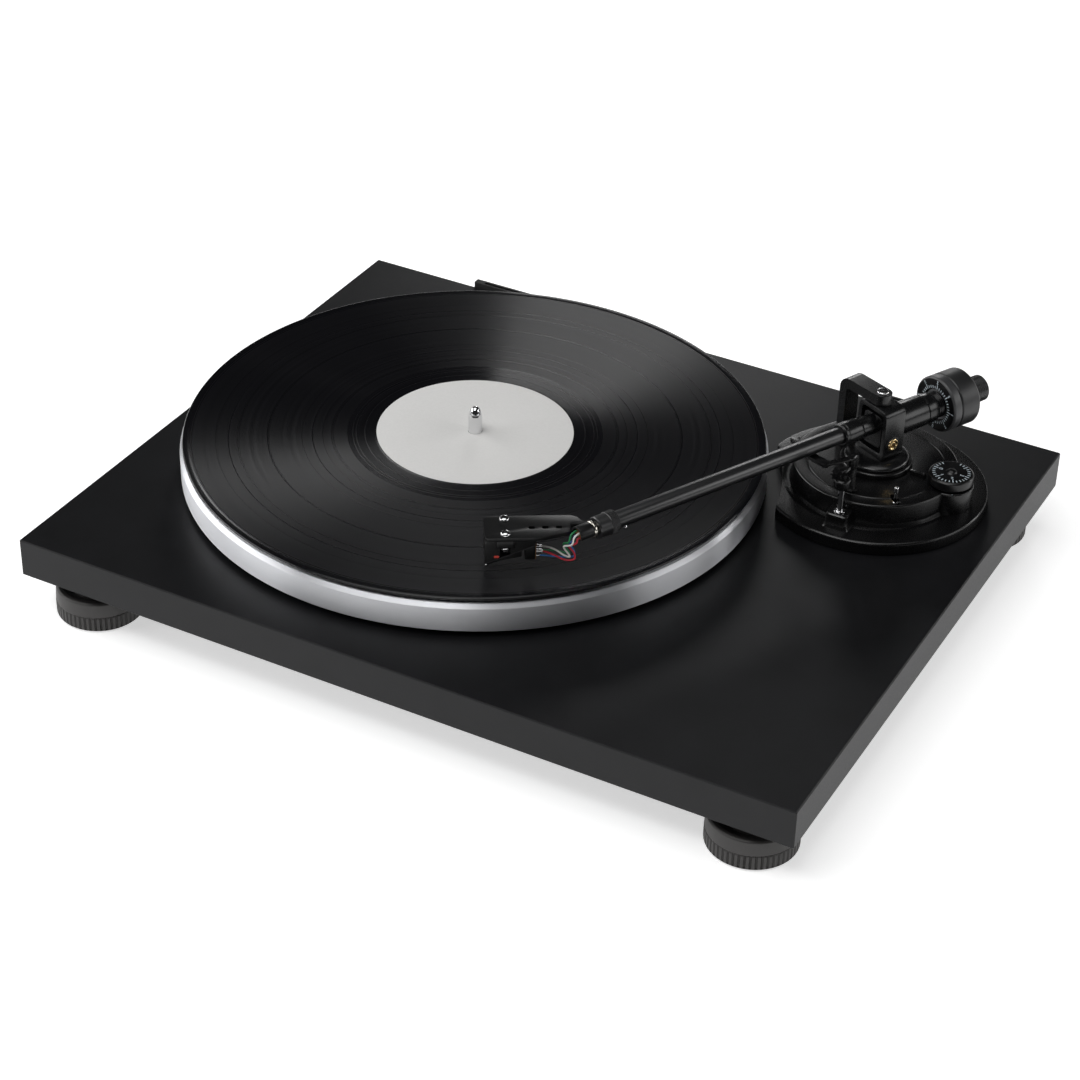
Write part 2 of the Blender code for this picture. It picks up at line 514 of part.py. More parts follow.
def build_arm_base():
    """The base disc, raised deck, bias boss, rest pedestal and stem, in one casting."""
    profile = [(0, DECK_TOP), (DECK_R - 0.8, DECK_TOP), (DECK_R, DECK_TOP - 0.8), (DECK_R, BASE_TOP),
               (BASE_R - 0.7, BASE_TOP), (BASE_R, BASE_TOP - 0.7), (BASE_R, TOP_Z + GAP),
               (STEM_R, TOP_Z + GAP), (STEM_R, STEM_BOTTOM), (0, STEM_BOTTOM)]
    base = lathe("arm_base", profile, 48, at=(PIVOT_X, PIVOT_Y, 0))
    boss = lathe("boss", [(0, DECK_TOP), (BIAS_BOSS_R - 0.6, DECK_TOP), (BIAS_BOSS_R, DECK_TOP - 0.6),
                          (BIAS_BOSS_R, BASE_TOP - 1), (0, BASE_TOP - 1)],
                 at=(PIVOT_X + BIAS_X, PIVOT_Y + BIAS_Y, 0))
    half = REST_BASE_W / 2
    rest = unit(PARK_HEADING) * (REST_REACH - 1)
    pedestal = prism("pedestal", rounded_rectangle(-half, half, -half, half, 2), BASE_TOP - 1, REST_BASE_TOP,
                     at=(PIVOT_X + rest.x, PIVOT_Y + rest.y, 0))
    for vertex in pedestal.data.vertices:
        if vertex.co.z < BASE_TOP * MM:
            vertex.co.x *= 1 + REST_FLARE / half
            vertex.co.y *= 1 + REST_FLARE / half
    join(base, boss, pedestal)
    slot = prism("cutter", rounded_rectangle(-CUE_SLOT_L / 2, CUE_SLOT_L / 2, -CUE_SLOT_W / 2, CUE_SLOT_W / 2, 1.7),
                 DECK_TOP - CUE_SLOT_DEPTH, DECK_TOP + CUT, at=(PIVOT_X + CUE_X, PIVOT_Y + CUE_Y, 0),
                 turn=(0, 0, CUE_HEADING), where="Cutters")
    rod = unit(PARK_HEADING) * REST_REACH
    return cut(base, slot, drill(SPINDLE_X, SPINDLE_Y, BASE_RELIEF_R, TOP_Z - CUT, BASE_TOP + CUT, WIDE),
               drill(PIVOT_X, PIVOT_Y, PIVOT_SHAFT_R + GAP, STEM_BOTTOM - CUT, DECK_TOP + CUT),
               drill(PIVOT_X + BIAS_X, PIVOT_Y + BIAS_Y, BIAS_PIN_R + GAP, DECK_TOP - 6, DECK_TOP + CUT, SMALL),
               drill(PIVOT_X + rod.x, PIVOT_Y + rod.y, REST_ROD_R + FIT, REST_BASE_TOP - 4, REST_BASE_TOP + CUT, SMALL))


def build_arm_pillar():
    bore = PIVOT_SHAFT_R + FIT
    profile = [(bore, COLLAR_TOP), (COLLAR_R - 0.5, COLLAR_TOP), (COLLAR_R, COLLAR_TOP - 0.5),
               (COLLAR_R, DECK_TOP + GAP), (bore, DECK_TOP + GAP), (bore, COLLAR_TOP)]
    return lathe("arm_pillar", profile, 40, at=(PIVOT_X, PIVOT_Y, 0))


def build_arm_arch():
    """The fixed arch: its leg stands on the deck and its bar holds the upper pivot screw."""
    outer, inner = ARCH_REACH, ARCH_REACH - ARCH_LEG_T
    under, foot = ARCH_TOP - ARCH_T, DECK_TOP + GAP
    outline = ([(inner, foot), (outer, foot)] + arc((outer - ARCH_CORNER, ARCH_TOP - ARCH_CORNER), ARCH_CORNER, 0, 90, 5)
               + [(-ARCH_OVERHANG, ARCH_TOP), (-ARCH_OVERHANG, under)]
               + arc((inner - 2.4, under - 2.4), 2.4, 90, 0, 3))
    place = {"at": (PIVOT_X, PIVOT_Y, 0), "turn": (90, 0, ARCH_HEADING)}
    arch = prism("arm_arch", outline, -ARCH_W / 2, ARCH_W / 2, **place)
    plan = prism("cutter", arch_plan(), foot - CUT, ARCH_TOP + CUT, at=(PIVOT_X, PIVOT_Y, 0),
                 turn=(0, 0, ARCH_HEADING), where="Cutters")
    combine(arch, [plan], "INTERSECT")
    return cut(arch, drill(PIVOT_X, PIVOT_Y, ARCH_SCREW_SHANK + FIT, under - CUT, ARCH_TOP + CUT, SMALL))


def arch_plan():
    """The arch from above: straight sides and a rounded end over the pivot."""
    half = ARCH_W / 2
    end = arc((-ARCH_OVERHANG + half, 0), half, 90, 270, 8)
    return [(ARCH_REACH + CUT, -half - CUT), (ARCH_REACH + CUT, half + CUT), (0, half + CUT)] + end + [(0, -half - CUT)]


def build_arch_screw():
    profile = [(0, ARCH_TOP + 1.1), (ARCH_SCREW_R - 0.4, ARCH_TOP + 1.1), (ARCH_SCREW_R, ARCH_TOP + 0.7),
               (ARCH_SCREW_R, ARCH_TOP + 0.1), (ARCH_SCREW_SHANK, ARCH_TOP + 0.1),
               (ARCH_SCREW_SHANK, ARCH_TOP - ARCH_T), (0, ARCH_TOP - ARCH_T)]
    screw = lathe("arch_screw", profile, SMALL, at=(PIVOT_X, PIVOT_Y, 0))
    slot = box("cutter", (-ARCH_SCREW_R - CUT, ARCH_SCREW_R + CUT), (-0.4, 0.4), (ARCH_TOP + 0.5, ARCH_TOP + CUT),
               at=(PIVOT_X, PIVOT_Y, 0), turn=(0, 0, 20), where="Cutters")
    return cut(screw, slot)


def build_rest_rod():
    """The chrome rod of the arm rest, with the collar that carries the saddle."""
    rod = unit(PARK_HEADING) * REST_REACH
    return lathe("rest_rod", cylinder(REST_ROD_R, REST_BASE_TOP - 3, REST_CAP_Z - FIT), SMALL,
                 at=(PIVOT_X + rod.x, PIVOT_Y + rod.y, 0))


def build_rest_saddle():
    """A block on the rod, a shallow saddle under the parked tube and a wall on its far side."""
    rod = unit(PARK_HEADING) * REST_REACH
    at = (PIVOT_X + rod.x, PIVOT_Y + rod.y, 0)
    cap_top = REST_CAP_Z + REST_CAP_T
    saddle = lathe("rest_saddle", [(0, cap_top), (REST_CAP_R - 0.5, cap_top), (REST_CAP_R, cap_top - 0.5),
                                   (REST_CAP_R, REST_CAP_Z + 0.5), (REST_CAP_R - 0.5, REST_CAP_Z),
                                   (0, REST_CAP_Z)], at=at)
    inner, outer = REST_SADDLE_R, REST_SADDLE_R + REST_SADDLE_T
    outline = ([(outer, REST_WALL_TOP), (inner, REST_WALL_TOP)] + arc((0, TUBE_Z), inner, 0, -108, 8)
               + arc((0, TUBE_Z), outer, -108, 0, 8))
    cradle = upright("cradle", outline, -REST_SADDLE_W / 2, REST_SADDLE_W / 2, at=at)
    neck = lathe("neck", cylinder(2.2, cap_top - 1, TUBE_Z - inner - 0.8), 16, at=at)
    lug = box("lug", (-LUG_REACH, 0), (-REST_SADDLE_W / 2, REST_SADDLE_W / 2 - 1),
              (CLIP_Z - LUG_T / 2, CLIP_Z + LUG_T / 2), at=at)
    join(saddle, neck, cradle, lug)
    hole = lathe_x("cutter", cylinder(CLIP_PIN_R + FIT, -LUG_REACH - CUT, -1.4), 20,
                   at=(at[0], at[1] - CLIP_SETBACK, CLIP_Z), where="Cutters")
    return cut(saddle, hole)


def build_rest_clip():
    """The finger that lies beside the saddle and tips up to hold the parked tube."""
    rod = unit(PARK_HEADING) * REST_REACH
    left = -LUG_REACH - GAP
    at = (PIVOT_X + rod.x, PIVOT_Y + rod.y - CLIP_SETBACK, CLIP_Z)
    half = CLIP_H / 2
    outline = [(0, -half), (CLIP_LENGTH - half, -half), (CLIP_LENGTH, 0), (CLIP_LENGTH - half, half), (0, half)]
    clip = prism("rest_clip", outline + arc((0, 0), half, 110, 250, 6), left - CLIP_T, left, at=at, turn=(90, 0, 90))
    pin = lathe_x("pin", cylinder(CLIP_PIN_R, left - CLIP_T / 2, -2), 16, at=at)
    return join(clip, pin)


def build_cue_cylinder():
    foot = unit(LIFT_HEADING) * LIFT_REACH
    low, high = DECK_TOP + GAP, TOP_Z + 36.0
    profile = [(LIFT_PISTON_R + FIT, high), (LIFT_R - 0.3, high), (LIFT_R, high - 0.3), (LIFT_R, low + 1.2),
               (LIFT_R + 1.2, low + 1.2), (LIFT_R + 1.2, low), (LIFT_PISTON_R + FIT, low), (LIFT_PISTON_R + FIT, high)]
    return lathe("cue_cylinder", profile, SMALL, at=(PIVOT_X + foot.x, PIVOT_Y + foot.y, 0))


def build_cue_platform():
    """The lifting bar, curved about the arm's pivot so that it stays under the tube at any angle."""
    foot = unit(LIFT_HEADING) * LIFT_REACH
    at = (PIVOT_X + foot.x, PIVOT_Y + foot.y, 0)
    low = LIFT_TOP - LIFT_BAR_T
    cap = LIFT_TOP - LIFT_CAP_DROP
    platform = lathe("cue_platform", [(0, cap), (LIFT_CAP_R, cap), (LIFT_CAP_R, low), (LIFT_PISTON_R, low),
                                      (LIFT_PISTON_R, DECK_TOP + 2.6), (0, DECK_TOP + 2.6)], SMALL, at=at)
    centre = (-foot.x, -foot.y)
    half = LIFT_BAR_W / 2
    bar = prism("bar", arc(centre, LIFT_BAR_R + half, LIFT_BAR_FROM, LIFT_BAR_TO, 14)
                + arc(centre, LIFT_BAR_R - half, LIFT_BAR_TO, LIFT_BAR_FROM, 14), low, LIFT_TOP, at=at)
    tip = unit(LIFT_BAR_TO - 2.5) * LIFT_BAR_R - foot
    side = Vector((-tip.y, tip.x, 0)).normalized() * 1.8
    corners = [-side, tip - side, tip + side, side]
    link = prism("link", [(c.x, c.y) for c in corners], low + 0.2, cap - 0.2, at=at)
    return join(platform, link, bar)


def build_cue_lever():
    """The small upright lever in the deck that works the lift."""
    at = (PIVOT_X + CUE_X, PIVOT_Y + CUE_Y, CUE_PIVOT_Z)
    rise = CUE_TOP_Z - CUE_PIVOT_Z
    lever = lathe("cue_lever", [(0, rise), (CUE_R - 0.3, rise), (CUE_R, rise - 0.4), (CUE_R, -1), (0, -1)], SMALL,
                  at=at, turn=(0, 0, CUE_HEADING))
    barrel = lathe("barrel", cylinder(1.5, -1.5, 1.5), SMALL, at=at, turn=(90, 0, CUE_HEADING))
    return join(lever, barrel)


def build_anti_skate_dial():
    """A dial with a domed hub and a fluted edge, on a pin in its boss."""
    at = (PIVOT_X + BIAS_X, PIVOT_Y + BIAS_Y, 0)
    profile = [(0, BIAS_TOP + 1.6), (BIAS_HUB_R - 1.6, BIAS_TOP + 1.4), (BIAS_HUB_R - 0.4, BIAS_TOP + 0.7),
               (BIAS_HUB_R, BIAS_TOP), (BIAS_R - 0.6, BIAS_TOP), (BIAS_R, BIAS_TOP - 0.6),
               (BIAS_R, BIAS_LOW + 0.4), (BIAS_R - 0.4, BIAS_LOW), (BIAS_PIN_R, BIAS_LOW),
               (BIAS_PIN_R, DECK_TOP - 5), (0, DECK_TOP - 5)]
    return lathe("anti_skate_dial", profile, at=at)


def build_anti_skate_link():
    half = LINK_W / 2
    outline = (arc((LINK_TO - half, 0), half, -90, 90, 6) + arc((LINK_FROM + half, 0), half, 90, 270, 6))
    low = DECK_TOP + GAP
    return prism("anti_skate_link", outline, low, low + LINK_T, at=(PIVOT_X, PIVOT_Y, 0), turn=(0, 0, LINK_HEADING))


# Tonearm, in a frame whose X axis runs from the pivot towards the headshell, at the height of the axle


def build_arm_yoke(parent):
    """The frame around the arm, on a dome and the vertical shaft."""
    outer = rounded_rectangle(-YOKE_HALF, YOKE_HALF, YOKE_LOW - AXLE_Z, YOKE_TOP - AXLE_Z, YOKE_CORNER)
    inner = rounded_rectangle(-YOKE_HALF + YOKE_WALL, YOKE_HALF - YOKE_WALL, YOKE_LOW - AXLE_Z + 4.4,
                              YOKE_TOP - AXLE_Z - YOKE_WALL, YOKE_CORNER - YOKE_WALL)
    place = {"parent": parent, "turn": (90, 0, 90)}
    yoke = prism("arm_yoke", outer, YOKE_REAR, YOKE_FRONT, **place)
    window = prism("cutter", inner, YOKE_REAR - CUT, YOKE_FRONT + CUT, parent=parent, turn=(90, 0, 90), where="Cutters")
    cut(yoke, window)
    low = COLLAR_TOP + GAP - AXLE_Z
    dome = arc((0, low + 0.6), 1, 75, 0, 2)
    rise = YOKE_LOW + 1.2 - AXLE_Z - low
    profile = ([(0, low + rise)] + [(8 + 8.6 * x, low + 0.6 + (y - low - 0.6) * (rise - 0.6)) for x, y in dome]
               + [(16.6, low), (PIVOT_SHAFT_R, low), (PIVOT_SHAFT_R, STEM_BOTTOM + 1 - AXLE_Z),
                  (0, STEM_BOTTOM + 1 - AXLE_Z)])
    join(yoke, lathe("dome", profile, 32, parent=parent))
    hole = lathe("cutter", cylinder(AXLE_R + GAP, -YOKE_HALF - CUT, YOKE_HALF + CUT), SMALL, parent=parent,
                 turn=(90, 0, 0), where="Cutters")
    return cut(yoke, hole)


def build_bearing_screw(name, side, parent):
    """A slotted bearing screw in one wall of the yoke."""
    high = YOKE_HALF + 0.9
    profile = [(0, high), (2.9, high), (3.3, high - 0.3), (3.3, YOKE_HALF + FIT), (AXLE_R, YOKE_HALF + FIT),
               (AXLE_R, YOKE_HALF - YOKE_WALL + FIT), (0, YOKE_HALF - YOKE_WALL + FIT)]
    screw = lathe(name, profile, SMALL, parent=parent, turn=(-90 * side, 0, 0))
    slot = box("cutter", (-5, 5), (-0.35, 0.35), (high - 0.5, high + CUT), parent=parent,
               turn=(-90 * side, 0, 0), where="Cutters")
    return cut(screw, slot)


def build_arm_axle(parent):
    half = YOKE_HALF - YOKE_WALL - FIT
    return lathe("arm_axle", cylinder(AXLE_R, -half, half), SMALL, parent=parent, turn=(90, 0, 0))


def build_arm_hub(parent):
    """The block on the axle, the sleeve that grips the tube, and the stub that carries the weight."""
    tube, stub, low = TUBE_Z - AXLE_Z, STUB_Z - AXLE_Z, HUB_LOW - AXLE_Z
    outline = rounded_rectangle(-HUB_HALF_Y, HUB_HALF_Y, low, tube + SLEEVE_R - 0.6, 3.4)
    hub = prism("arm_hub", outline, -HUB_HALF_X, HUB_HALF_X, parent=parent, turn=(90, 0, 90))
    sleeve = lathe_x("sleeve", [(0, SLEEVE_END), (SLEEVE_R - 0.5, SLEEVE_END), (SLEEVE_R, SLEEVE_END - 0.5),
                                (SLEEVE_R, 15.4), (SLEEVE_R - 0.5, 14.8), (SLEEVE_R - 0.5, 0), (0, 0)],
                     at=(0, 0, tube), parent=parent)
    rear = [(0, -2), (SLEEVE_R, -2), (SLEEVE_R, STUB_START), (STUB_R - 0.5, STUB_START), (STUB_R, STUB_START - 0.5),
            (STUB_R, STUB_SEAM), (STUB_R - 0.8, STUB_SEAM), (STUB_R - 0.8, STUB_SEAM - 0.6),
            (STUB_R - 0.3, STUB_SEAM - 0.6), (STUB_R - 0.3, THREAD_START), (THREAD_R, THREAD_START),
            (THREAD_R, STUB_END + 0.6), (THREAD_R - 0.6, STUB_END), (0, STUB_END)]
    stub_body = lathe_x("stub", rear, at=(0, 0, stub), parent=parent)
    join(hub, sleeve, stub_body)
    bore = lathe_x("cutter", cylinder(TUBE_R + FIT, TUBE_START, SLEEVE_END + CUT), at=(0, 0, tube),
                   parent=parent, where="Cutters")
    hole = lathe("cutter", cylinder(AXLE_R + 2 * FIT, -HUB_HALF_Y - CUT, HUB_HALF_Y + CUT), SMALL, parent=parent,
                 turn=(90, 0, 0), where="Cutters")
    return cut(hub, bore, hole)


def build_arm_tube(parent):
    """The straight tube, with the small lug behind the headshell lock."""
    tube = TUBE_Z - AXLE_Z
    arm_tube = lathe_x("arm_tube", ring(TUBE_R - TUBE_WALL, TUBE_R, TUBE_START + FIT, TUBE_END),
                       at=(0, 0, tube), parent=parent)
    lug = lathe("lug", cylinder(LUG_R, TUBE_R - 0.5, TUBE_R + LUG_OUT), FINE, at=(LUG_X, 0, tube), parent=parent,
                turn=(-140, 0, 0))
    return join(arm_tube, lug)


def build_counterweight_bush(parent):
    profile = ring(THREAD_R + FIT, WEIGHT_BORE_R - FIT, WEIGHT_REAR + 0.8, WEIGHT_FRONT - 1)
    return lathe_x("counterweight_bush", profile, parent=parent)


def build_counterweight(parent):
    front = WEIGHT_FRONT - FORCE_DIAL_T - GAP
    profile = [(WEIGHT_BORE_R, WEIGHT_FRONT - 0.6), (FORCE_BOSS_R, WEIGHT_FRONT - 0.6), (FORCE_BOSS_R, front),
               (WEIGHT_R - 0.4, front), (WEIGHT_R, front - 0.4), (WEIGHT_R, WEIGHT_REAR + 1), (WEIGHT_R - 1, WEIGHT_REAR),
               (WEIGHT_BORE_R, WEIGHT_REAR), (WEIGHT_BORE_R, WEIGHT_FRONT - 0.6)]
    return lathe_x("counterweight", profile, 40, parent=parent)


def build_tracking_force_dial(parent):
    back, bore = WEIGHT_FRONT - FORCE_DIAL_T, FORCE_BOSS_R + FIT
    profile = [(bore, WEIGHT_FRONT), (WEIGHT_R - 1.2, WEIGHT_FRONT), (WEIGHT_R, WEIGHT_FRONT - 1.2),
               (WEIGHT_R, back), (bore, back), (bore, WEIGHT_FRONT)]
    return lathe_x("tracking_force_dial", profile, 40, parent=parent)


def build_locking_collar(parent):
    """The knurled collar that draws the headshell's shank into the tube."""
    outer, inner = TUBE_R + FIT, SHANK_R + 2 * FIT
    profile = [(inner, LOCK_END), (LOCK_R - 0.4, LOCK_END), (LOCK_R, LOCK_END - 0.4), (LOCK_R, KNURL_END),
               (KNURL_R, KNURL_END - 0.3), (KNURL_R, KNURL_START + 0.3), (KNURL_R - 0.4, KNURL_START),
               (outer, KNURL_START), (outer, TUBE_END + GAP), (inner, TUBE_END + GAP), (inner, LOCK_END)]
    return lathe_x("locking_collar", profile, parent=parent)


# Headshell and cartridge, in the headshell's own frame


def shell_outline():
    """The plate from above: a blunt nose, straight sides and a taper to the flange."""
    corner = SHELL_CORNER
    nose = (arc((SHELL_NOSE + corner, SHELL_HALF - corner), corner, 90, 180, 4)
            + arc((SHELL_NOSE + corner, -SHELL_HALF + corner), corner, 180, 270, 4))
    return [(SHELL_RIGHT_END, -SHELL_HALF), (SHELL_BACK + 0.6, -1.0), (SHELL_BACK + 0.6, 1.8),
            (SHELL_LEFT_END, SHELL_HALF)] + nose


def along_tube(parent):
    """Where a part coaxial with the tube sits in the headshell's frame: at the flange, turned along the tube."""
    return {"parent": parent, "at": (SHELL_BACK, SHELL_SIDE, TUBE_Z),
            "turn": (0, 90, ARM_HEADING - SHELL_HEADING)}


def build_headshell(parent):
    plate = prism("headshell", shell_outline(), SHELL_TOP - SHELL_T, SHELL_TOP, parent=parent)
    neck = box("neck", (SHELL_LEFT_END - 2, SHELL_BACK + 0.8), (-0.8, 2.0), (SHELL_TOP - SHELL_T - 0.8, SHELL_TOP + 1.6),
               parent=parent)
    clearance = lathe("cutter", cylinder(PLUG_R + PLUG_CLEARANCE, FLANGE_T / 2, 4 * PLUG_LENGTH), SMALL,
                      where="Cutters", **along_tube(parent))
    join(plate, neck)
    behind_flange = box("cutter", (-SHELL_BACK, SHELL_BACK), (-SHELL_BACK, SHELL_BACK), (-SHELL_BACK, FLANGE_T / 2),
                        where="Cutters", **along_tube(parent))
    cut(plate, clearance, behind_flange)
    shank = [(0, FLANGE_T), (FLANGE_R - 0.5, FLANGE_T), (FLANGE_R, FLANGE_T - 0.5), (FLANGE_R, 0), (SHANK_R, 0),
             (SHANK_R, -SHANK_LENGTH), (0, -SHANK_LENGTH)]
    join(plate, lathe("shank", shank, **along_tube(parent)))
    holes = [lathe("cutter", cylinder(LIGHTENING_R, SHELL_TOP - SHELL_T - CUT, SHELL_TOP + CUT), FINE,
                   at=(x, LIGHTENING_Y, 0), parent=parent, where="Cutters") for x in LIGHTENING_HOLES]
    holes += [lathe("cutter", cylinder(SCREW_R + 2 * FIT, SHELL_TOP - SHELL_T - CUT, SHELL_TOP + CUT), FINE,
                    at=(0, side * SCREW_PITCH / 2, 0), parent=parent, where="Cutters") for side in (-1, 1)]
    return cut(plate, *holes)


def build_headshell_terminal(parent):
    start = FLANGE_T + FIT
    return lathe("headshell_terminal", [(0, start + PLUG_LENGTH), (PLUG_R - 0.4, start + PLUG_LENGTH),
                                        (PLUG_R, start + PLUG_LENGTH - 0.4), (PLUG_R, start), (0, start)], SMALL,
                 **along_tube(parent))


def build_cartridge_body(parent):
    outline = [(CARTRIDGE_NOSE, CHIN_Z), (HEEL_X, HEEL_Z), (CARTRIDGE_TAIL, HEEL_Z),
               (CARTRIDGE_TAIL, CARTRIDGE_TOP), (CARTRIDGE_NOSE + 1.2, CARTRIDGE_TOP), (CARTRIDGE_NOSE, CARTRIDGE_TOP - 3)]
    body = upright("cartridge_body", outline, -CARTRIDGE_HALF, CARTRIDGE_HALF, parent=parent)
    ears = box("ears", (-EAR_LENGTH / 2, EAR_LENGTH / 2), (-EAR_HALF, EAR_HALF),
               (CARTRIDGE_TOP - EAR_T, CARTRIDGE_TOP), parent=parent)
    pin_block = box("pin_block", (BLOCK_START, CARTRIDGE_TAIL), (-BLOCK_HALF, BLOCK_HALF), (BLOCK_LOW, HEEL_Z + CUT),
                    parent=parent)
    join(body, ears, pin_block)
    holes = [lathe("cutter", cylinder(SCREW_R + 2 * FIT, CARTRIDGE_TOP - EAR_T - NUT_T - 2, CARTRIDGE_TOP + CUT), FINE,
                   at=(0, side * SCREW_PITCH / 2, 0), parent=parent, where="Cutters") for side in (-1, 1)]
    seats = [lathe("cutter", cylinder(NUT_R + GAP, HEEL_Z - 8, CARTRIDGE_TOP - EAR_T), FINE,
                   at=(0, side * SCREW_PITCH / 2, 0), parent=parent, where="Cutters") for side in (-1, 1)]
    return cut(body, *holes, *seats)


def chin_height(x):
    """The height of the cartridge's sloping underside."""
    return CHIN_Z + (x - CARTRIDGE_NOSE) * (HEEL_Z - CHIN_Z) / (HEEL_X - CARTRIDGE_NOSE)


def build_stylus_assembly(parent):
    """The replaceable stylus holder under the cartridge, with its cantilever and tip."""
    front, back = CARTRIDGE_NOSE + 1, STYLUS_BACK
    outline = [(front, chin_height(front) - GAP - 1.6), (front + 7, chin_height(front) - 2.4),
               (back, chin_height(back) - 4.5), (back, chin_height(back) - GAP), (front, chin_height(front) - GAP)]
    holder = upright("stylus_assembly", outline, -STYLUS_HALF, STYLUS_HALF, parent=parent)
    root, tip = Vector((front + 6, 0, chin_height(front) - 2.6)), Vector((CARTRIDGE_NOSE + 0.4, 0, STYLUS_TIP_Z + 0.9))
    slope = tip - root
    tilt = math.degrees(math.atan2(slope.x, slope.z))
    cantilever = lathe("cantilever", cylinder(0.35, -1.5, slope.length), FINE, at=root, turn=(0, tilt, 0), parent=parent)
    point = lathe("point", [(0, 1.2), (0.45, 1.2), (0.45, 0.7), (0.12, 0), (0, 0)], FINE,
                  at=(tip.x + 0.2, 0, STYLUS_TIP_Z), parent=parent)
    return join(holder, cantilever, point)


def build_cartridge_screw(name, side, parent):
    low = CARTRIDGE_TOP - EAR_T - NUT_T - 0.9
    top = SHELL_TOP + FIT + SCREW_HEAD_T
    profile = [(0, top), (SCREW_HEAD_R - 1.0, top), (SCREW_HEAD_R - 0.3, top - 0.4), (SCREW_HEAD_R, top - 1),
               (SCREW_HEAD_R, SHELL_TOP + FIT), (SCREW_R, SHELL_TOP + FIT), (SCREW_R, low), (0, low)]
    at = (0, side * SCREW_PITCH / 2, 0)
    screw = lathe(name, profile, SMALL, at=at, parent=parent)
    slot = box("cutter", (-SCREW_HEAD_R - CUT, SCREW_HEAD_R + CUT), (-0.35, 0.35), (top - 0.7, top + CUT), at=at,
               turn=(0, 0, 25 * side), parent=parent, where="Cutters")
    return cut(screw, slot)


def build_cartridge_nut(name, side, parent):
    high = CARTRIDGE_TOP - EAR_T - FIT
    return lathe(name, ring(NUT_BORE_R, NUT_R, high - NUT_T, high), 6, at=(0, side * SCREW_PITCH / 2, 0),
                 parent=parent)


def smooth(points, steps):
    """Points on a smooth curve that passes through the given ones."""
    ends = [2 * points[0] - points[1]] + points + [2 * points[-1] - points[-2]]
    curve = []
    for before, start, stop, after in zip(ends, ends[1:], ends[2:], ends[3:]):
        for i in range(steps):
            t = i / steps
            curve.append(start + (stop - before) * t / 2
                         + (before * 2 - start * 5 + stop * 4 - after) * t * t / 2
                         + (start * 3 - before - stop * 3 + after) * t * t * t / 2)
    return curve + [points[-1]]


def lead_stations():
    """The route of the bundle of leads, from the cartridge's pins to the headshell's plug.

    Each station is a point with the two directions in which the four leads spread around it.
    """
    out = unit(ARM_HEADING - SHELL_HEADING)
    across, ahead = Vector((-out.y, out.x, 0)) * LEAD_SPREAD, -out * LEAD_SPREAD
    down, near = Vector((0, 0, -LEAD_SPREAD)), Vector((0, -LEAD_SPREAD, 0))
    right = Vector((LEAD_SPREAD, 0, 0))
    socket = Vector((SHELL_BACK, SHELL_SIDE, TUBE_Z)) + out * (FLANGE_T + PLUG_LENGTH + 2 * FIT)
    pin = Vector((CARTRIDGE_TAIL + FIT, 0, PIN_Z))
    lane, row = Vector((0, -PIN_LANE, 0)), Vector((0, 0, PIN_ROW))
    return [(pin, lane, row), (pin + Vector((4.2, -0.2, 0)), lane, row),
            (pin + Vector((9.0, -1.6, -0.3)), (near + down) * 0.8, (near - down) * 0.8),
            (pin + Vector((13.9, -3.6, -1.0)), down + right * 0.15, near),
            (pin + Vector((17.2, -4.6, -0.6)), right * 0.85 + down * 0.55, near),
            (pin + Vector((17.0, -4.8, 1.9)), right * 0.95 - down * 0.3, near),
            (pin + Vector((15.0, -4.9, 5.0)), right * 0.9 - down * 0.4, near),
            (pin + Vector((14.6, -5.8, 7.0)), right, near),
            (socket + out * 3.4 - Vector((0, 0, 3.6)), ahead, across),
            (socket + out * 2.4 - Vector((0, 0, 0.9)), (ahead + down) * 0.7, across),
            (socket + out, down, across), (socket, down, across)]


def build_lead_wires(parent):
    """Four short leads, kept side by side along one route."""
    lanes = {"lead_white": (-1, 1), "lead_red": (1, 1), "lead_green": (-1, -1), "lead_blue": (1, -1)}
    wires = []
    for name, (u, v) in lanes.items():
        route = [point + along * u + over * v for point, along, over in lead_stations()]
        wires.append(wire(name, smooth(route, LEAD_STEPS), WIRE_R, parent=parent))
    return wires


# Rear panel


def build_hinge_socket(name, x):
    """The socket that takes a dust cover's hinge, slotted from above."""
    low, high = REAR_Y + GAP, REAR_Y + GAP + HINGE_T
    half = HINGE_W / 2
    socket = box(name, (-half, half), (low, high), (HINGE_LOW, HINGE_HIGH), at=(x, 0, 0))
    soften(socket, HINGE_CHAMFER)
    middle = (low + high) / 2
    slot = box("cutter", (-HINGE_SLOT_W / 2, HINGE_SLOT_W / 2),
               (middle - HINGE_SLOT_T / 2, middle + HINGE_SLOT_T / 2),
               (HINGE_HIGH - HINGE_SLOT_DEPTH, HINGE_HIGH + CUT), at=(x, 0, 0), where="Cutters")
    return cut(socket, slot)


def behind(x, z=PANEL_Z, y=REAR_Y):
    """A place on the rear panel for a turned part that points out of the back."""
    return {"at": (x, y, z), "turn": (-90, 0, 0)}


def build_rear_panel():
    panel = box("rear_panel", (PANEL_X - PANEL_W / 2, PANEL_X + PANEL_W / 2), (REAR_Y - PANEL_T, REAR_Y),
                (PANEL_Z - PANEL_H / 2, PANEL_Z + PANEL_H / 2))
    window = box("cutter", (GAIN_X - GAIN_SLOT / 2, GAIN_X + GAIN_SLOT / 2), (REAR_Y - PANEL_T - CUT, REAR_Y + CUT),
                 (PANEL_Z - GAIN_H / 2 - GAP, PANEL_Z + GAIN_H / 2 + GAP), where="Cutters")
    stud = lathe("stud", cylinder(TERMINAL_STUD_R, -PANEL_T / 2, REAR_PROUD - 1.2), FINE, **behind(TERMINAL_X))
    return join(cut(panel, window), stud)


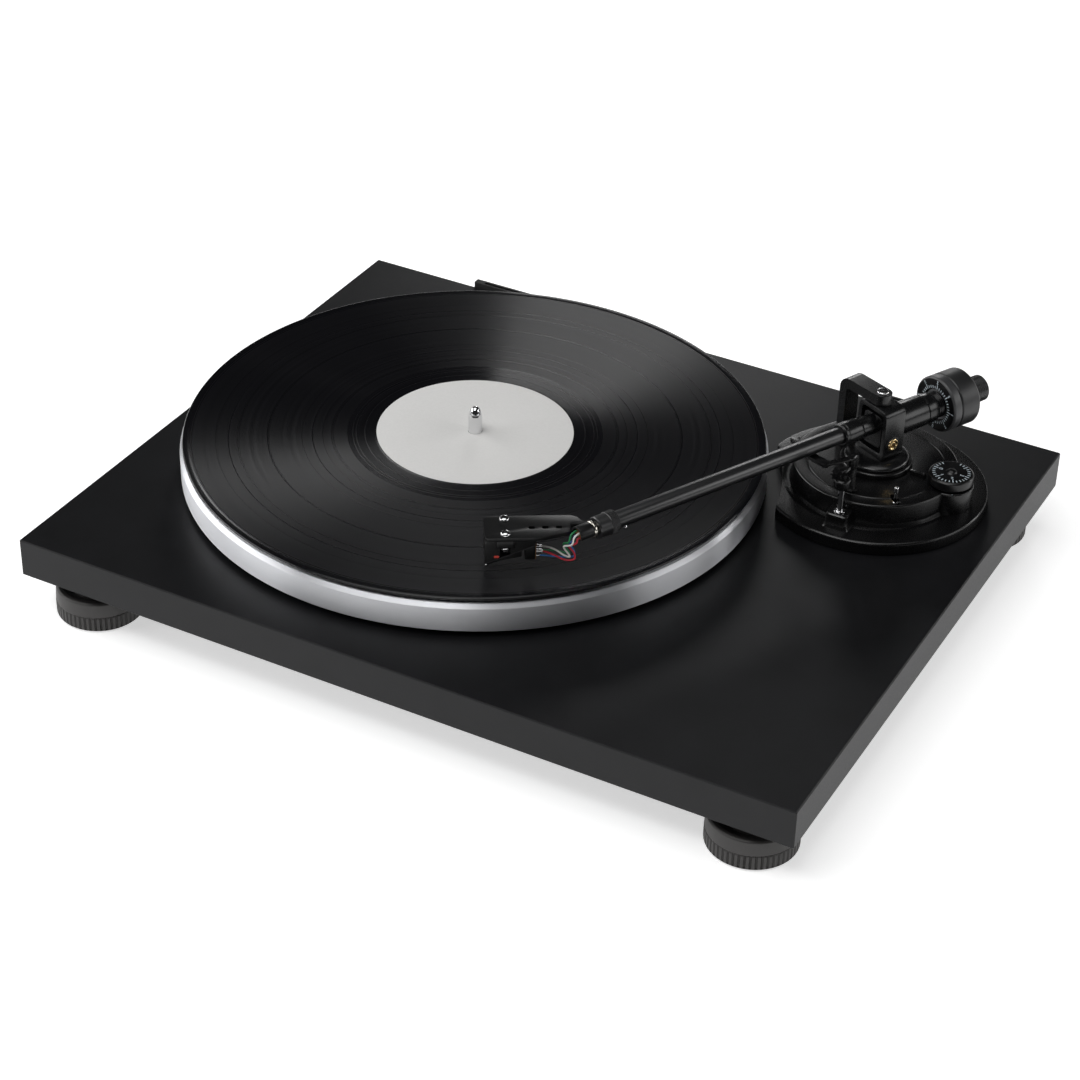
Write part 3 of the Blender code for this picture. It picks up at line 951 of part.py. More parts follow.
def build_phono_jack(name, x):
    out = REAR_PROUD
    profile = [(JACK_BORE_R, out), (JACK_R, out), (JACK_R, 1.2), (JACK_FLANGE_R, 1.2), (JACK_FLANGE_R, FIT),
               (0, FIT), (0, 2.2), (JACK_BORE_R, 2.2), (JACK_BORE_R, out)]
    return lathe(name, profile, SMALL + 4, **behind(x))


def build_ground_terminal():
    """The knurled thumbscrew on the panel's stud."""
    profile = ring(TERMINAL_STUD_R + FIT, TERMINAL_R, 1.6, REAR_PROUD - 0.6)
    return lathe("ground_terminal", profile, 28, **behind(TERMINAL_X))


def build_gain_switch():
    left = GAIN_X - GAIN_SLOT / 2 + 0.4
    return box("gain_switch", (left, left + GAIN_W), (REAR_Y - 0.9, REAR_Y + 1.6),
               (PANEL_Z - GAIN_H / 2, PANEL_Z + GAIN_H / 2))


def build_power_inlet():
    inlet = box("power_inlet", (INLET_X - INLET_W / 2, INLET_X + INLET_W / 2), (REAR_Y + FIT, REAR_Y + REAR_PROUD - 2),
                (PANEL_Z - INLET_H / 2, PANEL_Z + INLET_H / 2))
    bore = lathe("cutter", ring(0.9, INLET_BORE_R, 1.6, REAR_PROUD), FINE, where="Cutters", **behind(INLET_X))
    return cut(inlet, bore)


def build_object():
    for name in ("Turntable", "Cutters"):
        bpy.context.scene.collection.children.link(bpy.data.collections.new(name))
    bpy.data.collections["Cutters"].hide_render = True

    finish(BLACK, 0.38, 0.0, build_plinth())
    finish(CHARCOAL, 0.5, 0.0, *build_feet())
    finish(BLACK, 0.5, 0.6, build_bottom_cover(), build_rear_panel())
    finish(BLACK, 0.45, 0.0, build_hinge_socket("hinge_socket_left", -HINGE_X),
           build_hinge_socket("hinge_socket_right", HINGE_X))
    finish(GREEN, 0.5, 0.0, build_circuit_board())
    finish(BLACK, 0.45, 0.0, build_speed_knob(), build_gain_switch(), build_power_inlet())

    spin = frame("platter_axis", at=(SPINDLE_X, SPINDLE_Y, 0))
    finish(ALUMINIUM, 0.28, 1.0, build_platter(spin))
    finish(BLACK, 0.9, 0.0, build_slipmat(spin))
    finish(BLACK, 0.22, 0.0, build_record(spin))
    finish(WHITE, 0.6, 0.0, build_record_label(spin))
    finish(ALUMINIUM, 0.12, 1.0, build_spindle(spin), build_bearing_housing(), build_motor())
    finish(SATIN, 0.5, 0.0, build_sub_platter(spin))
    finish(BRASS, 0.25, 1.0, build_motor_pulley())
    finish(BLACK, 0.8, 0.0, build_drive_belt())

    finish(SATIN, 0.4, 0.3, build_arm_base(), build_arm_pillar(), build_arm_arch(), build_rest_saddle(),
           build_rest_clip(), build_anti_skate_link(), build_cue_platform(), build_cue_cylinder())
    finish(CHROME, 0.1, 1.0, build_arch_screw(), build_rest_rod(), build_cue_lever())
    finish(BLACK, 0.4, 0.0, build_anti_skate_dial())

    swing = frame("arm_axis", at=(PIVOT_X, PIVOT_Y, AXLE_Z), turn=(0, 0, ARM_HEADING))
    finish(SATIN, 0.35, 0.5, build_arm_yoke(swing), build_arm_hub(swing), build_arm_tube(swing))
    finish(BRASS, 0.25, 1.0, build_bearing_screw("bearing_screw_right", 1, swing),
           build_bearing_screw("bearing_screw_left", -1, swing))
    finish(ALUMINIUM, 0.2, 1.0, build_arm_axle(swing))

    stub = frame("counterweight_axis", swing, at=(0, 0, STUB_Z - AXLE_Z))
    finish(CHARCOAL, 0.4, 0.6, build_counterweight(stub), build_counterweight_bush(stub))
    finish(SATIN, 0.4, 0.0, build_tracking_force_dial(stub))

    lock = frame("lock_axis", swing, at=(0, 0, TUBE_Z - AXLE_Z))
    finish(CHARCOAL, 0.35, 0.8, build_locking_collar(lock))

    back = unit(SHELL_HEADING)
    flange = unit(ARM_HEADING) * SHELL_REACH
    origin = flange - back * SHELL_BACK - Vector((-back.y, back.x, 0)) * SHELL_SIDE
    shell = frame("headshell_axis", at=(PIVOT_X + origin.x, PIVOT_Y + origin.y, 0), turn=(0, 0, SHELL_HEADING))
    finish(SATIN, 0.4, 0.5, build_headshell(shell))
    finish(BROWN, 0.5, 0.0, build_headshell_terminal(shell))
    finish(BLACK, 0.35, 0.0, build_cartridge_body(shell), build_stylus_assembly(shell))
    for side, name in ((1, "left"), (-1, "right")):
        finish(CHROME, 0.15, 1.0, build_cartridge_screw("cartridge_screw_" + name, side, shell),
               build_cartridge_nut("cartridge_nut_" + name, side, shell))
    for lead in build_lead_wires(shell):
        finish(LEAD_COLOURS[lead.name], 0.45, 0.0, lead)

    finish(WHITE, 0.4, 0.0, build_phono_jack("phono_jack_left", JACK_XS[0]))
    finish(RED, 0.4, 0.0, build_phono_jack("phono_jack_right", JACK_XS[1]))
    finish(CHROME, 0.25, 1.0, build_ground_terminal())


for old in list(bpy.data.objects):
    bpy.data.objects.remove(old)
build_object()
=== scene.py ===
"""A belt-drive turntable with a record and a straight tonearm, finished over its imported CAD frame.

Sizes are millimetres and degrees, in the CAD's frame: +Z up, the front edge towards -Y, the feet on z = 0.
"""

import json
import math

import bmesh
import bpy
from mathutils import Matrix, Vector


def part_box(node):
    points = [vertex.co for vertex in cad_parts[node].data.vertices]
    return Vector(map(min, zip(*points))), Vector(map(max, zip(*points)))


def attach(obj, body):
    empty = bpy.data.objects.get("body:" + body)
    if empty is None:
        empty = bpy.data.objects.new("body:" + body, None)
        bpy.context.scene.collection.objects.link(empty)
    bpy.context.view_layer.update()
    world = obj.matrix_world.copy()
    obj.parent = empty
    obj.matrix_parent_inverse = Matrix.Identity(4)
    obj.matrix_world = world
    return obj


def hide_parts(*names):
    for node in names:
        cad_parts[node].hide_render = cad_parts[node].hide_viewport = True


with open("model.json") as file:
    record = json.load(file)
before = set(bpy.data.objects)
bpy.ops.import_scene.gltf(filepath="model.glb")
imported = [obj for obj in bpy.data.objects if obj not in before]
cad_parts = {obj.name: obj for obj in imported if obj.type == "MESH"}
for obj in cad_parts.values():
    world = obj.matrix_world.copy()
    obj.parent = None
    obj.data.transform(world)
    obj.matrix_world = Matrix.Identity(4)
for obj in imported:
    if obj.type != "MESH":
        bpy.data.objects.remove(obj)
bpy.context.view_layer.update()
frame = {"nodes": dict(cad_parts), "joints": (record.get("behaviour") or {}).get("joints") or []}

MM = 0.001
JOINTS = {joint["name"]: joint for joint in frame["joints"]}


def pivot(joint):
    """A point on a joint's axis, in millimetres."""
    return Vector(JOINTS[joint]["pos_m"]) / MM


def low(node):
    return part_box(node)[0] / MM


def high(node):
    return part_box(node)[1] / MM


# Places taken from the frame
TOP_Z = high("plinth").z
SPINDLE, PIVOT = pivot("platter_spin"), pivot("arm_swing")
TUBE_Z, STUB_Z, AXLE_Z = pivot("lock_collar_turn").z, pivot("weight_turn").z, pivot("cue_pitch").z
ARM_AXIS = Vector(JOINTS["headshell_pull"]["axis"])
ARM_HEADING = math.degrees(math.atan2(ARM_AXIS.y, ARM_AXIS.x))
DECK_TOP, BASE_TOP = low("arm_pillar").z - 0.3, TOP_Z + 7.0
RECORD_TOP = high("record").z
COLLAR_TOP = high("arm_pillar").z
ARCH_TOP = high("arm_arch").z
REAR_Y = high("rear_panel").y - 7.3

# Sizes that follow the CAD part
RECORD_R, LABEL_R, HOLE_R = 150.6, 51.0, 3.7
GROOVES_FROM, GROOVES_TO = 66.0, 146.6
PLATTER_R, PLATTER_LAND_R, PLATTER_RECESS_R = 152.0, 150.0, 143.0
BASE_R, BASE_RELIEF_R, DECK_R, DECK_GROOVE_R = 58.6, 159.8, 42.4, 35.5
BIAS_X, BIAS_Y, BIAS_R, BIAS_BOSS_R = 40.6, 0.4, 11.5, 12.0
TUBE_R, SLEEVE_R, STUB_R, THREAD_R = 4.3, 6.0, 8.25, 7.0
YOKE_HALF, YOKE_WALL, YOKE_FRONT, YOKE_REAR = 10.6, 2.6, 5.7, -7.3
SHELL_HEADING, SHELL_REACH, SHELL_BACK, SHELL_SIDE = 32.0, 180.5, 41.9, -1.6
SHELL_T, SHELL_HALF = 2.0, 9.6
FOOT_R, FOOT_RIBS = 22.3, 52
WEIGHT_R, WEIGHT_FRONT, DIAL_BACK, WEIGHT_REAR = 15.0, -38.0, -43.3, -56.5

FLOOR_GLOW, WORLD_GLOW = 0.62, 0.02
WORLD = Matrix.Identity(4)


def place(x=0.0, y=0.0, z=0.0, heading=0.0):
    return Matrix.Translation(Vector((x, y, z)) * MM) @ Matrix.Rotation(math.radians(heading), 4, "Z")


def lying(frame_matrix, z):
    """A frame whose Z axis runs along another frame's X axis, at a height."""
    return frame_matrix @ Matrix.Translation((0, 0, z * MM)) @ Matrix.Rotation(math.pi / 2, 4, "Y")


def heading_vector(angle):
    return Vector((math.cos(math.radians(angle)), math.sin(math.radians(angle)), 0))


PLATTER = place(SPINDLE.x, SPINDLE.y)
ARM = place(PIVOT.x, PIVOT.y, heading=ARM_HEADING)
BASE = place(PIVOT.x, PIVOT.y)
BIAS = place(PIVOT.x + BIAS_X, PIVOT.y + BIAS_Y)
SHELL_ORIGIN = (heading_vector(ARM_HEADING) * SHELL_REACH - heading_vector(SHELL_HEADING) * SHELL_BACK
                - heading_vector(SHELL_HEADING + 90) * SHELL_SIDE)
SHELL = place(PIVOT.x + SHELL_ORIGIN.x, PIVOT.y + SHELL_ORIGIN.y, heading=SHELL_HEADING)
TUBE, STUB = lying(ARM, TUBE_Z), lying(ARM, STUB_Z)
PLUG = lying(SHELL @ place(SHELL_BACK, SHELL_SIDE, heading=ARM_HEADING - SHELL_HEADING), TUBE_Z)


# Mesh tools, in millimetres


def arc(centre, radius, start, end, steps):
    """Points on an arc, from one angle to another."""
    turns = [math.radians(start + (end - start) * i / steps) for i in range(steps + 1)]
    return [(centre[0] + radius * math.cos(t), centre[1] + radius * math.sin(t)) for t in turns]


def rounded(points, radius, closed=False, steps=3):
    """A profile or outline with its corners rounded off."""
    count = len(points)
    result = []
    for i, point in enumerate(points):
        if not closed and i in (0, count - 1):
            result.append(tuple(point))
            continue
        corner, before, after = Vector(point), Vector(points[i - 1]), Vector(points[(i + 1) % count])
        reach = min(radius, (before - corner).length * 0.45, (after - corner).length * 0.45)
        start = corner + (before - corner).normalized() * reach
        end = corner + (after - corner).normalized() * reach
        for k in range(steps + 1):
            t = k / steps
            result.append(tuple(start * (1 - t) ** 2 + corner * 2 * t * (1 - t) + end * t * t))
    return result


def rectangle(x0, x1, y0, y1, radius=1.0):
    return rounded([(x0, y0), (x1, y0), (x1, y1), (x0, y1)], radius, closed=True, steps=5)


def skin(rings, wrap=False):
    """A closed surface through rings of points, in order; wrapped, its last ring meets its first."""
    shape = bmesh.new()
    rows = [[shape.verts.new(Vector(point) * MM) for point in ring] for ring in rings]
    pairs = list(zip(rows, rows[1:])) + ([(rows[-1], rows[0])] if wrap else [])
    for a, b in pairs:
        for i in range(len(a)):
            j = (i + 1) % len(a)
            shape.faces.new((a[i], a[j], b[j], b[i]))
    if not wrap:
        shape.faces.new(list(reversed(rows[0])))
        shape.faces.new(rows[-1])
    bmesh.ops.remove_doubles(shape, verts=shape.verts, dist=MM * 0.0002)
    bmesh.ops.recalc_face_normals(shape, faces=shape.faces)
    mesh = bpy.data.meshes.new("skin")
    shape.to_mesh(mesh)
    shape.free()
    return mesh


def turned(profile, steps=128, edge=0.3, wave=None):
    """A solid of revolution about Z. wave(angle, height, radius) may move the surface in or out."""
    closed = profile[0] == profile[-1]
    points = rounded(profile[:-1] if closed else profile, edge, closed) if edge else profile
    rings = []
    for radius, height in points:
        ring = []
        for i in range(steps):
            turn = 2 * math.pi * i / steps
            reach = radius + (wave(turn, height, radius) if wave else 0)
            ring.append((reach * math.cos(turn), reach * math.sin(turn), height))
        rings.append(ring)
    return skin(rings, wrap=closed)


def ring_profile(inner, outer, bottom, top):
    return [(outer, top), (outer, bottom), (inner, bottom), (inner, top), (outer, top)]


def post(radius, bottom, top):
    return [(0, top), (radius, top), (radius, bottom), (0, bottom)]


def evaluated(obj):
    """An object's mesh with its modifiers applied; the object itself is removed."""
    bpy.context.view_layer.update()
    mesh = bpy.data.meshes.new_from_object(obj.evaluated_get(bpy.context.evaluated_depsgraph_get()))
    bpy.data.objects.remove(obj)
    return mesh


def loose(mesh):
    obj = bpy.data.objects.new("loose", mesh)
    bpy.context.scene.collection.objects.link(obj)
    return obj


def softened(mesh, width, segments=3, angle=35):
    obj = loose(mesh)
    bevel = obj.modifiers.new("Edges", "BEVEL")
    bevel.width = width * MM
    bevel.segments = segments
    bevel.limit_method = "ANGLE"
    bevel.angle_limit = math.radians(angle)
    return evaluated(obj)


def slab(outlines, bottom, top, edge=0.3):
    """Flat outlines (the first is the shape, the others its holes) given a thickness and soft edges."""
    curve = bpy.data.curves.new("slab", "CURVE")
    curve.dimensions = "2D"
    curve.fill_mode = "BOTH"
    curve.extrude = (top - bottom) / 2 * MM
    for outline in outlines:
        spline = curve.splines.new("POLY")
        spline.points.add(len(outline) - 1)
        for point, (x, y) in zip(spline.points, outline):
            point.co = (x * MM, y * MM, 0, 1)
        spline.use_cyclic_u = True
    mesh = evaluated(loose(curve))
    mesh.transform(Matrix.Translation((0, 0, (top + bottom) / 2 * MM)))
    shape = bmesh.new()
    shape.from_mesh(mesh)
    bmesh.ops.remove_doubles(shape, verts=shape.verts, dist=MM * 0.0005)
    bmesh.ops.recalc_face_normals(shape, faces=shape.faces)
    shape.to_mesh(mesh)
    shape.free()
    return softened(mesh, edge) if edge else mesh


def block(x, y, z, edge=0.3, radius=0.6):
    return slab([rectangle(*x, *y, radius)], *z, edge=edge)


def upright(mesh):
    """A flat mesh turned to stand in the XZ plane."""
    mesh.transform(Matrix.Rotation(math.pi / 2, 4, "X"))
    return mesh


def crosswise(mesh):
    """A flat mesh turned to stand in the YZ plane, its thickness along X."""
    mesh.transform(Matrix.Rotation(math.pi / 2, 4, "Z") @ Matrix.Rotation(math.pi / 2, 4, "X"))
    return mesh


def moved(mesh, x=0.0, y=0.0, z=0.0, heading=0.0):
    mesh.transform(place(x, y, z, heading))
    return mesh


def merged(*meshes):
    """Several meshes as one."""
    shape = bmesh.new()
    for mesh in meshes:
        shape.from_mesh(mesh)
    result = bpy.data.meshes.new("merged")
    shape.to_mesh(result)
    shape.free()
    return result


def carved(mesh, *cutters):
    for cutter in cutters:
        obj, tool = loose(mesh), loose(cutter)
        cut = obj.modifiers.new("Cut", "BOOLEAN")
        cut.operation = "DIFFERENCE"
        cut.solver = "EXACT"
        cut.object = tool
        mesh = evaluated(obj)
        bpy.data.objects.remove(tool)
    return mesh


def rod(points, radius, sides=12):
    """A round wire along a path, carried without twist."""
    path = [Vector(point) for point in points]
    rings = []
    side = None
    for i, point in enumerate(path):
        ahead = (path[min(i + 1, len(path) - 1)] - path[max(i - 1, 0)]).normalized()
        if side is None:
            side = ahead.cross(Vector((0.31, 0.17, 0.94))).normalized()
        side = (side - ahead * side.dot(ahead)).normalized()
        over = ahead.cross(side)
        turns = [2 * math.pi * k / sides for k in range(sides)]
        rings.append([point + side * radius * math.cos(t) + over * radius * math.sin(t) for t in turns])
    return skin(rings)


def smooth(points, steps):
    """Points on a smooth curve that passes through the given ones."""
    ends = [2 * points[0] - points[1]] + points + [2 * points[-1] - points[-2]]
    curve = []
    for before, start, stop, after in zip(ends, ends[1:], ends[2:], ends[3:]):
        for i in range(steps):
            t = i / steps
            curve.append(start + (stop - before) * t / 2
                         + (before * 2 - start * 5 + stop * 4 - after) * t * t / 2
                         + (start * 3 - before - stop * 3 + after) * t ** 3 / 2)
    return curve + [points[-1]]


def lettering(text, size, depth=0.06):
    """A numeral as a thin flat mesh, centred on its origin."""
    data = bpy.data.curves.new("numeral", "FONT")
    data.body = text
    data.size = size * MM
    data.extrude = depth * MM
    data.align_x = "CENTER"
    data.align_y = "CENTER"
    return evaluated(loose(data))


def piece(name, mesh, body, material, at=WORLD, stands_for=(), sharp=32):
    """A finished piece: smooth-shaded, in place, riding on its body and standing for CAD nodes."""
    mesh.name = name
    obj = bpy.data.objects.new(name, mesh)
    bpy.context.scene.collection.objects.link(obj)
    obj.matrix_world = at
    mesh.materials.clear()
    mesh.materials.append(material)
    mesh.shade_smooth()
    mesh.set_sharp_from_angle(angle=math.radians(sharp))
    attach(obj, body)
    if stands_for:
        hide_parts(*stands_for)
    return obj


# Materials


def new_material(name, roughness, metallic=0.0, **sockets):
    material = bpy.data.materials.new(name)
    material.use_nodes = True
    shader = material.node_tree.nodes["Principled BSDF"]
    shader.inputs["Roughness"].default_value = roughness
    shader.inputs["Metallic"].default_value = metallic
    for socket, value in sockets.items():
        shader.inputs[socket.replace("_", " ")].default_value = value
    return material, material.node_tree.nodes, material.node_tree.links, shader


def noise_node(nodes, links, coordinates, size, detail=3.0):
    """Noise with features of a size in millimetres."""
    node = nodes.new("ShaderNodeTexNoise")
    node.inputs["Scale"].default_value = 1 / (size * MM)
    node.inputs["Detail"].default_value = detail
    links.new(coordinates, node.inputs["Vector"])
    return node


def mapped(nodes, links, source, from_low, from_high, to_low, to_high):
    node = nodes.new("ShaderNodeMapRange")
    for socket, value in zip(("From Min", "From Max", "To Min", "To Max"),
                             (from_low, from_high, to_low, to_high)):
        node.inputs[socket].default_value = value
    links.new(source, node.inputs["Value"])
    return node.outputs["Result"]


def blended(nodes, links, factor, first, second):
    node = nodes.new("ShaderNodeMix")
    node.data_type = "RGBA"
    links.new(factor, node.inputs["Factor"])
    node.inputs["A"].default_value = (*first, 1)
    node.inputs["B"].default_value = (*second, 1)
    return node.outputs["Result"]


def bumped(nodes, links, shader, height, strength, depth):
    node = nodes.new("ShaderNodeBump")
    node.inputs["Strength"].default_value = strength
    node.inputs["Distance"].default_value = depth * MM
    links.new(height, node.inputs["Height"])
    links.new(node.outputs["Normal"], shader.inputs["Normal"])
    return node


def surface(name, colour, roughness, metallic=0.0, grain=0.25, grain_size=0.35, depth=0.03, mottle=0.15,
            gloss_drift=0.12, **sockets):
    """A painted, moulded or plated finish: fine grain, faint mottling and an uneven gloss."""
    material, nodes, links, shader = new_material(name, roughness, metallic, **sockets)
    coordinates = nodes.new("ShaderNodeTexCoord").outputs["Object"]
    fine = noise_node(nodes, links, coordinates, grain_size)
    broad = noise_node(nodes, links, coordinates, 18.0)
    dark = [value * (1 - mottle) for value in colour]
    light = [min(1.0, value * (1 + mottle)) for value in colour]
    drift = mapped(nodes, links, broad.outputs["Fac"], 0.3, 0.7, 0, 1)
    links.new(blended(nodes, links, drift, dark, light), shader.inputs["Base Color"])
    links.new(mapped(nodes, links, fine.outputs["Fac"], 0.2, 0.8, roughness * (1 - gloss_drift),
                     min(1.0, roughness * (1 + gloss_drift))), shader.inputs["Roughness"])
    bumped(nodes, links, shader, fine.outputs["Fac"], grain, depth)
    return material


def radius_of(nodes, links, coordinates):
    """The distance from the piece's own Z axis, in metres."""
    flat = nodes.new("ShaderNodeVectorMath")
    flat.operation = "MULTIPLY"
    flat.inputs[1].default_value = (1, 1, 0)
    links.new(coordinates, flat.inputs[0])
    length = nodes.new("ShaderNodeVectorMath")
    length.operation = "LENGTH"
    links.new(flat.outputs["Vector"], length.inputs[0])
    return length.outputs["Value"]


def ring_noise(nodes, links, radius, size, detail=2.0):
    """Noise that changes only with the radius, as lathe marks and grooves do."""
    node = nodes.new("ShaderNodeTexNoise")
    node.noise_dimensions = "1D"
    node.inputs["Scale"].default_value = 1 / (size * MM)
    node.inputs["Detail"].default_value = detail
    links.new(radius, node.inputs["W"])
    return node.outputs["Fac"]


def turned_metal(name, colour, roughness, anisotropy, mark_size=0.5, strength=0.15):
    """Metal with fine lathe marks around its Z axis."""
    material, nodes, links, shader = new_material(name, roughness, 1.0, Anisotropic=anisotropy,
                                                  Anisotropic_Rotation=0.25)
    coordinates = nodes.new("ShaderNodeTexCoord").outputs["Object"]
    radius = radius_of(nodes, links, coordinates)
    split = nodes.new("ShaderNodeSeparateXYZ")
    links.new(coordinates, split.inputs["Vector"])
    total = nodes.new("ShaderNodeMath")
    total.operation = "ADD"
    links.new(radius, total.inputs[0])
    links.new(split.outputs["Z"], total.inputs[1])
    marks = ring_noise(nodes, links, total.outputs["Value"], mark_size)
    broad = noise_node(nodes, links, coordinates, 40.0)
    tint = [value * 0.93 for value in colour]
    links.new(blended(nodes, links, broad.outputs["Fac"], tint, colour), shader.inputs["Base Color"])
    links.new(mapped(nodes, links, marks, 0.25, 0.75, roughness * 0.8, roughness * 1.25),
              shader.inputs["Roughness"])
    bumped(nodes, links, shader, marks, strength, 0.02)
    tangent = nodes.new("ShaderNodeTangent")
    tangent.direction_type = "RADIAL"
    tangent.axis = "Z"
    links.new(tangent.outputs["Tangent"], shader.inputs["Tangent"])
    return material


def band(nodes, links, radius, centre, half_width):
    """One inside a ring of the given radius and half width, in millimetres, falling to zero outside it."""
    node = nodes.new("ShaderNodeMath")
    node.operation = "COMPARE"
    node.inputs[1].default_value = centre * MM
    node.inputs[2].default_value = half_width * MM
    links.new(radius, node.inputs[0])
    return node.outputs["Value"]


def vinyl():
    """Black vinyl: grooved between the run-in and the run-out, with smooth bands between the tracks."""
    material, nodes, links, shader = new_material("Grooved vinyl", 0.3, 0.0, Anisotropic=0.95,
                                                  Anisotropic_Rotation=0.25, Specular_IOR_Level=0.42)
    coordinates = nodes.new("ShaderNodeTexCoord").outputs["Object"]
    radius = radius_of(nodes, links, coordinates)
    middle, half = (GROOVES_FROM + GROOVES_TO) / 2, (GROOVES_TO - GROOVES_FROM) / 2
    grooved = band(nodes, links, radius, middle, half)
    for track in (84.0, 107.0, 127.0):
        less = nodes.new("ShaderNodeMath")
        less.operation = "SUBTRACT"
        less.use_clamp = True
        links.new(grooved, less.inputs[0])
        links.new(band(nodes, links, radius, track, 0.3), less.inputs[1])
        grooved = less.outputs["Value"]
    for turn in (57.0, 61.5, 63.2):
        more = nodes.new("ShaderNodeMath")
        more.operation = "ADD"
        more.use_clamp = True
        links.new(grooved, more.inputs[0])
        links.new(band(nodes, links, radius, turn, 0.25), more.inputs[1])
        grooved = more.outputs["Value"]
    loud = ring_noise(nodes, links, radius, 2.2, 4.0)
    fine = ring_noise(nodes, links, radius, 0.5, 2.0)
    rough = mapped(nodes, links, loud, 0.3, 0.7, 0.27, 0.34)
    gloss = nodes.new("ShaderNodeMix")
    links.new(grooved, gloss.inputs["Factor"])
    gloss.inputs["A"].default_value = 0.2
    links.new(rough, gloss.inputs["B"])
    links.new(gloss.outputs["Result"], shader.inputs["Roughness"])
    links.new(blended(nodes, links, loud, (0.002, 0.002, 0.0027), (0.005, 0.005, 0.0065)),
              shader.inputs["Base Color"])
    height = nodes.new("ShaderNodeMath")
    height.operation = "MULTIPLY"
    links.new(fine, height.inputs[0])
    links.new(grooved, height.inputs[1])
    bumped(nodes, links, shader, height.outputs["Value"], 0.25, 0.02)
    tangent = nodes.new("ShaderNodeTangent")
    tangent.direction_type = "RADIAL"
    tangent.axis = "Z"
    links.new(tangent.outputs["Tangent"], shader.inputs["Tangent"])
    return material


def paper():
    """White label paper: faint fibres and a pressed ring."""
    material, nodes, links, shader = new_material("Label paper", 0.62)
    coordinates = nodes.new("ShaderNodeTexCoord").outputs["Object"]
    fibres = noise_node(nodes, links, coordinates, 1.2, 6.0)
    radius = radius_of(nodes, links, coordinates)
    links.new(blended(nodes, links, fibres.outputs["Fac"], (0.74, 0.735, 0.72), (0.82, 0.815, 0.80)),
              shader.inputs["Base Color"])
    pressed = nodes.new("ShaderNodeMath")
    pressed.operation = "ADD"
    links.new(fibres.outputs["Fac"], pressed.inputs[0])
    links.new(band(nodes, links, radius, 16.5, 0.5), pressed.inputs[1])
    bumped(nodes, links, shader, pressed.outputs["Value"], 0.15, 0.05)
    return material


LACQUER = surface("Satin black lacquer", (0.0055, 0.0056, 0.0066), 0.43, grain=0.35, grain_size=0.55,
                  depth=0.05, mottle=0.2, Specular_IOR_Level=0.28)
ALUMINIUM = turned_metal("Turned aluminium", (0.86, 0.87, 0.90), 0.42, 0.95, strength=0.05)
VINYL = vinyl()
PAPER = paper()
FELT = surface("Black felt", (0.012, 0.012, 0.013), 0.95, grain=0.9, grain_size=0.5, depth=0.2, mottle=0.4)
CHROME = surface("Polished steel", (0.78, 0.78, 0.79), 0.09, 1.0, grain=0.04, grain_size=0.3, mottle=0.04)
CASTING = surface("Satin black paint", (0.0035, 0.0035, 0.0038), 0.27, grain=0.10, grain_size=0.4, mottle=0.2,
                  Specular_IOR_Level=0.5)
ARM_BLACK = surface("Satin dark anodising", (0.004, 0.0041, 0.0046), 0.26, 0.0, grain=0.06, grain_size=0.3,
                    Specular_IOR_Level=0.6)
TUBE_BLACK = surface("Tube lacquer", (0.0045, 0.0047, 0.0056), 0.32, 0.0, grain=0.05, grain_size=0.3,
                     Specular_IOR_Level=1.0)
WEIGHT_GREY = surface("Weight enamel", (0.010, 0.0102, 0.011), 0.42, 0.0, grain=0.12, grain_size=0.3,
                      Specular_IOR_Level=0.7)
RING_GREY = surface("Dial ring satin", (0.035, 0.035, 0.037), 0.4, 0.0, grain=0.15, grain_size=0.3,
                    Specular_IOR_Level=0.7)
DIAL_BLACK = surface("Dial black", (0.003, 0.003, 0.0033), 0.3, grain=0.12, grain_size=0.25)
WHITE_INK = surface("White ink", (0.70, 0.80, 0.86), 0.5, grain=0.2, grain_size=0.2, mottle=0.06)
MOULDING = surface("Fine black moulding", (0.012, 0.012, 0.012), 0.5, grain=0.5, grain_size=0.3, depth=0.06)
FOOT_GREY = surface("Foot moulding", (0.034, 0.032, 0.031), 0.5, grain=0.4, grain_size=0.4, depth=0.06)
SHELL_BLACK = surface("Headshell anodising", (0.0035, 0.0035, 0.0038), 0.36, grain=0.12, grain_size=0.25,
                      Specular_IOR_Level=0.35)
COLLAR = surface("Collar anodising", (0.010, 0.010, 0.011), 0.34, 0.0, grain=0.12, grain_size=0.25,
                 Specular_IOR_Level=0.7)
BRASS = surface("Turned brass", (0.86, 0.66, 0.36), 0.2, 1.0, grain=0.1, grain_size=0.3, mottle=0.1)
INSULATOR = surface("Brown insulator", (0.17, 0.085, 0.03), 0.45, grain=0.3, grain_size=0.4, mottle=0.35)
RUBBER = surface("Belt rubber", (0.012, 0.012, 0.012), 0.8, grain=0.6, grain_size=0.4)
BOARD = surface("Board laminate", (0.012, 0.085, 0.035), 0.4, grain=0.2, grain_size=0.6, mottle=0.3)
STEEL = surface("Zinc plate", (0.42, 0.42, 0.43), 0.34, 1.0, grain=0.2, grain_size=0.4)
NICKEL = surface("Nickel plate", (0.68, 0.65, 0.58), 0.2, 1.0, grain=0.1, grain_size=0.3)
WHITE_JACK = surface("White moulding", (0.72, 0.72, 0.70), 0.35, grain=0.15)
RED_JACK = surface("Red moulding", (0.50, 0.02, 0.02), 0.35, grain=0.15)
RED_MARK = surface("Red mark", (0.62, 0.05, 0.03), 0.4, grain=0.15)
LEADS = {"lead_white": surface("White insulation", (0.78, 0.78, 0.74), 0.4, grain=0.1),
         "lead_red": surface("Red insulation", (0.58, 0.02, 0.04), 0.4, grain=0.1),
         "lead_green": surface("Green insulation", (0.01, 0.22, 0.07), 0.4, grain=0.1),
         "lead_blue": surface("Blue insulation", (0.015, 0.16, 0.50), 0.4, grain=0.1)}


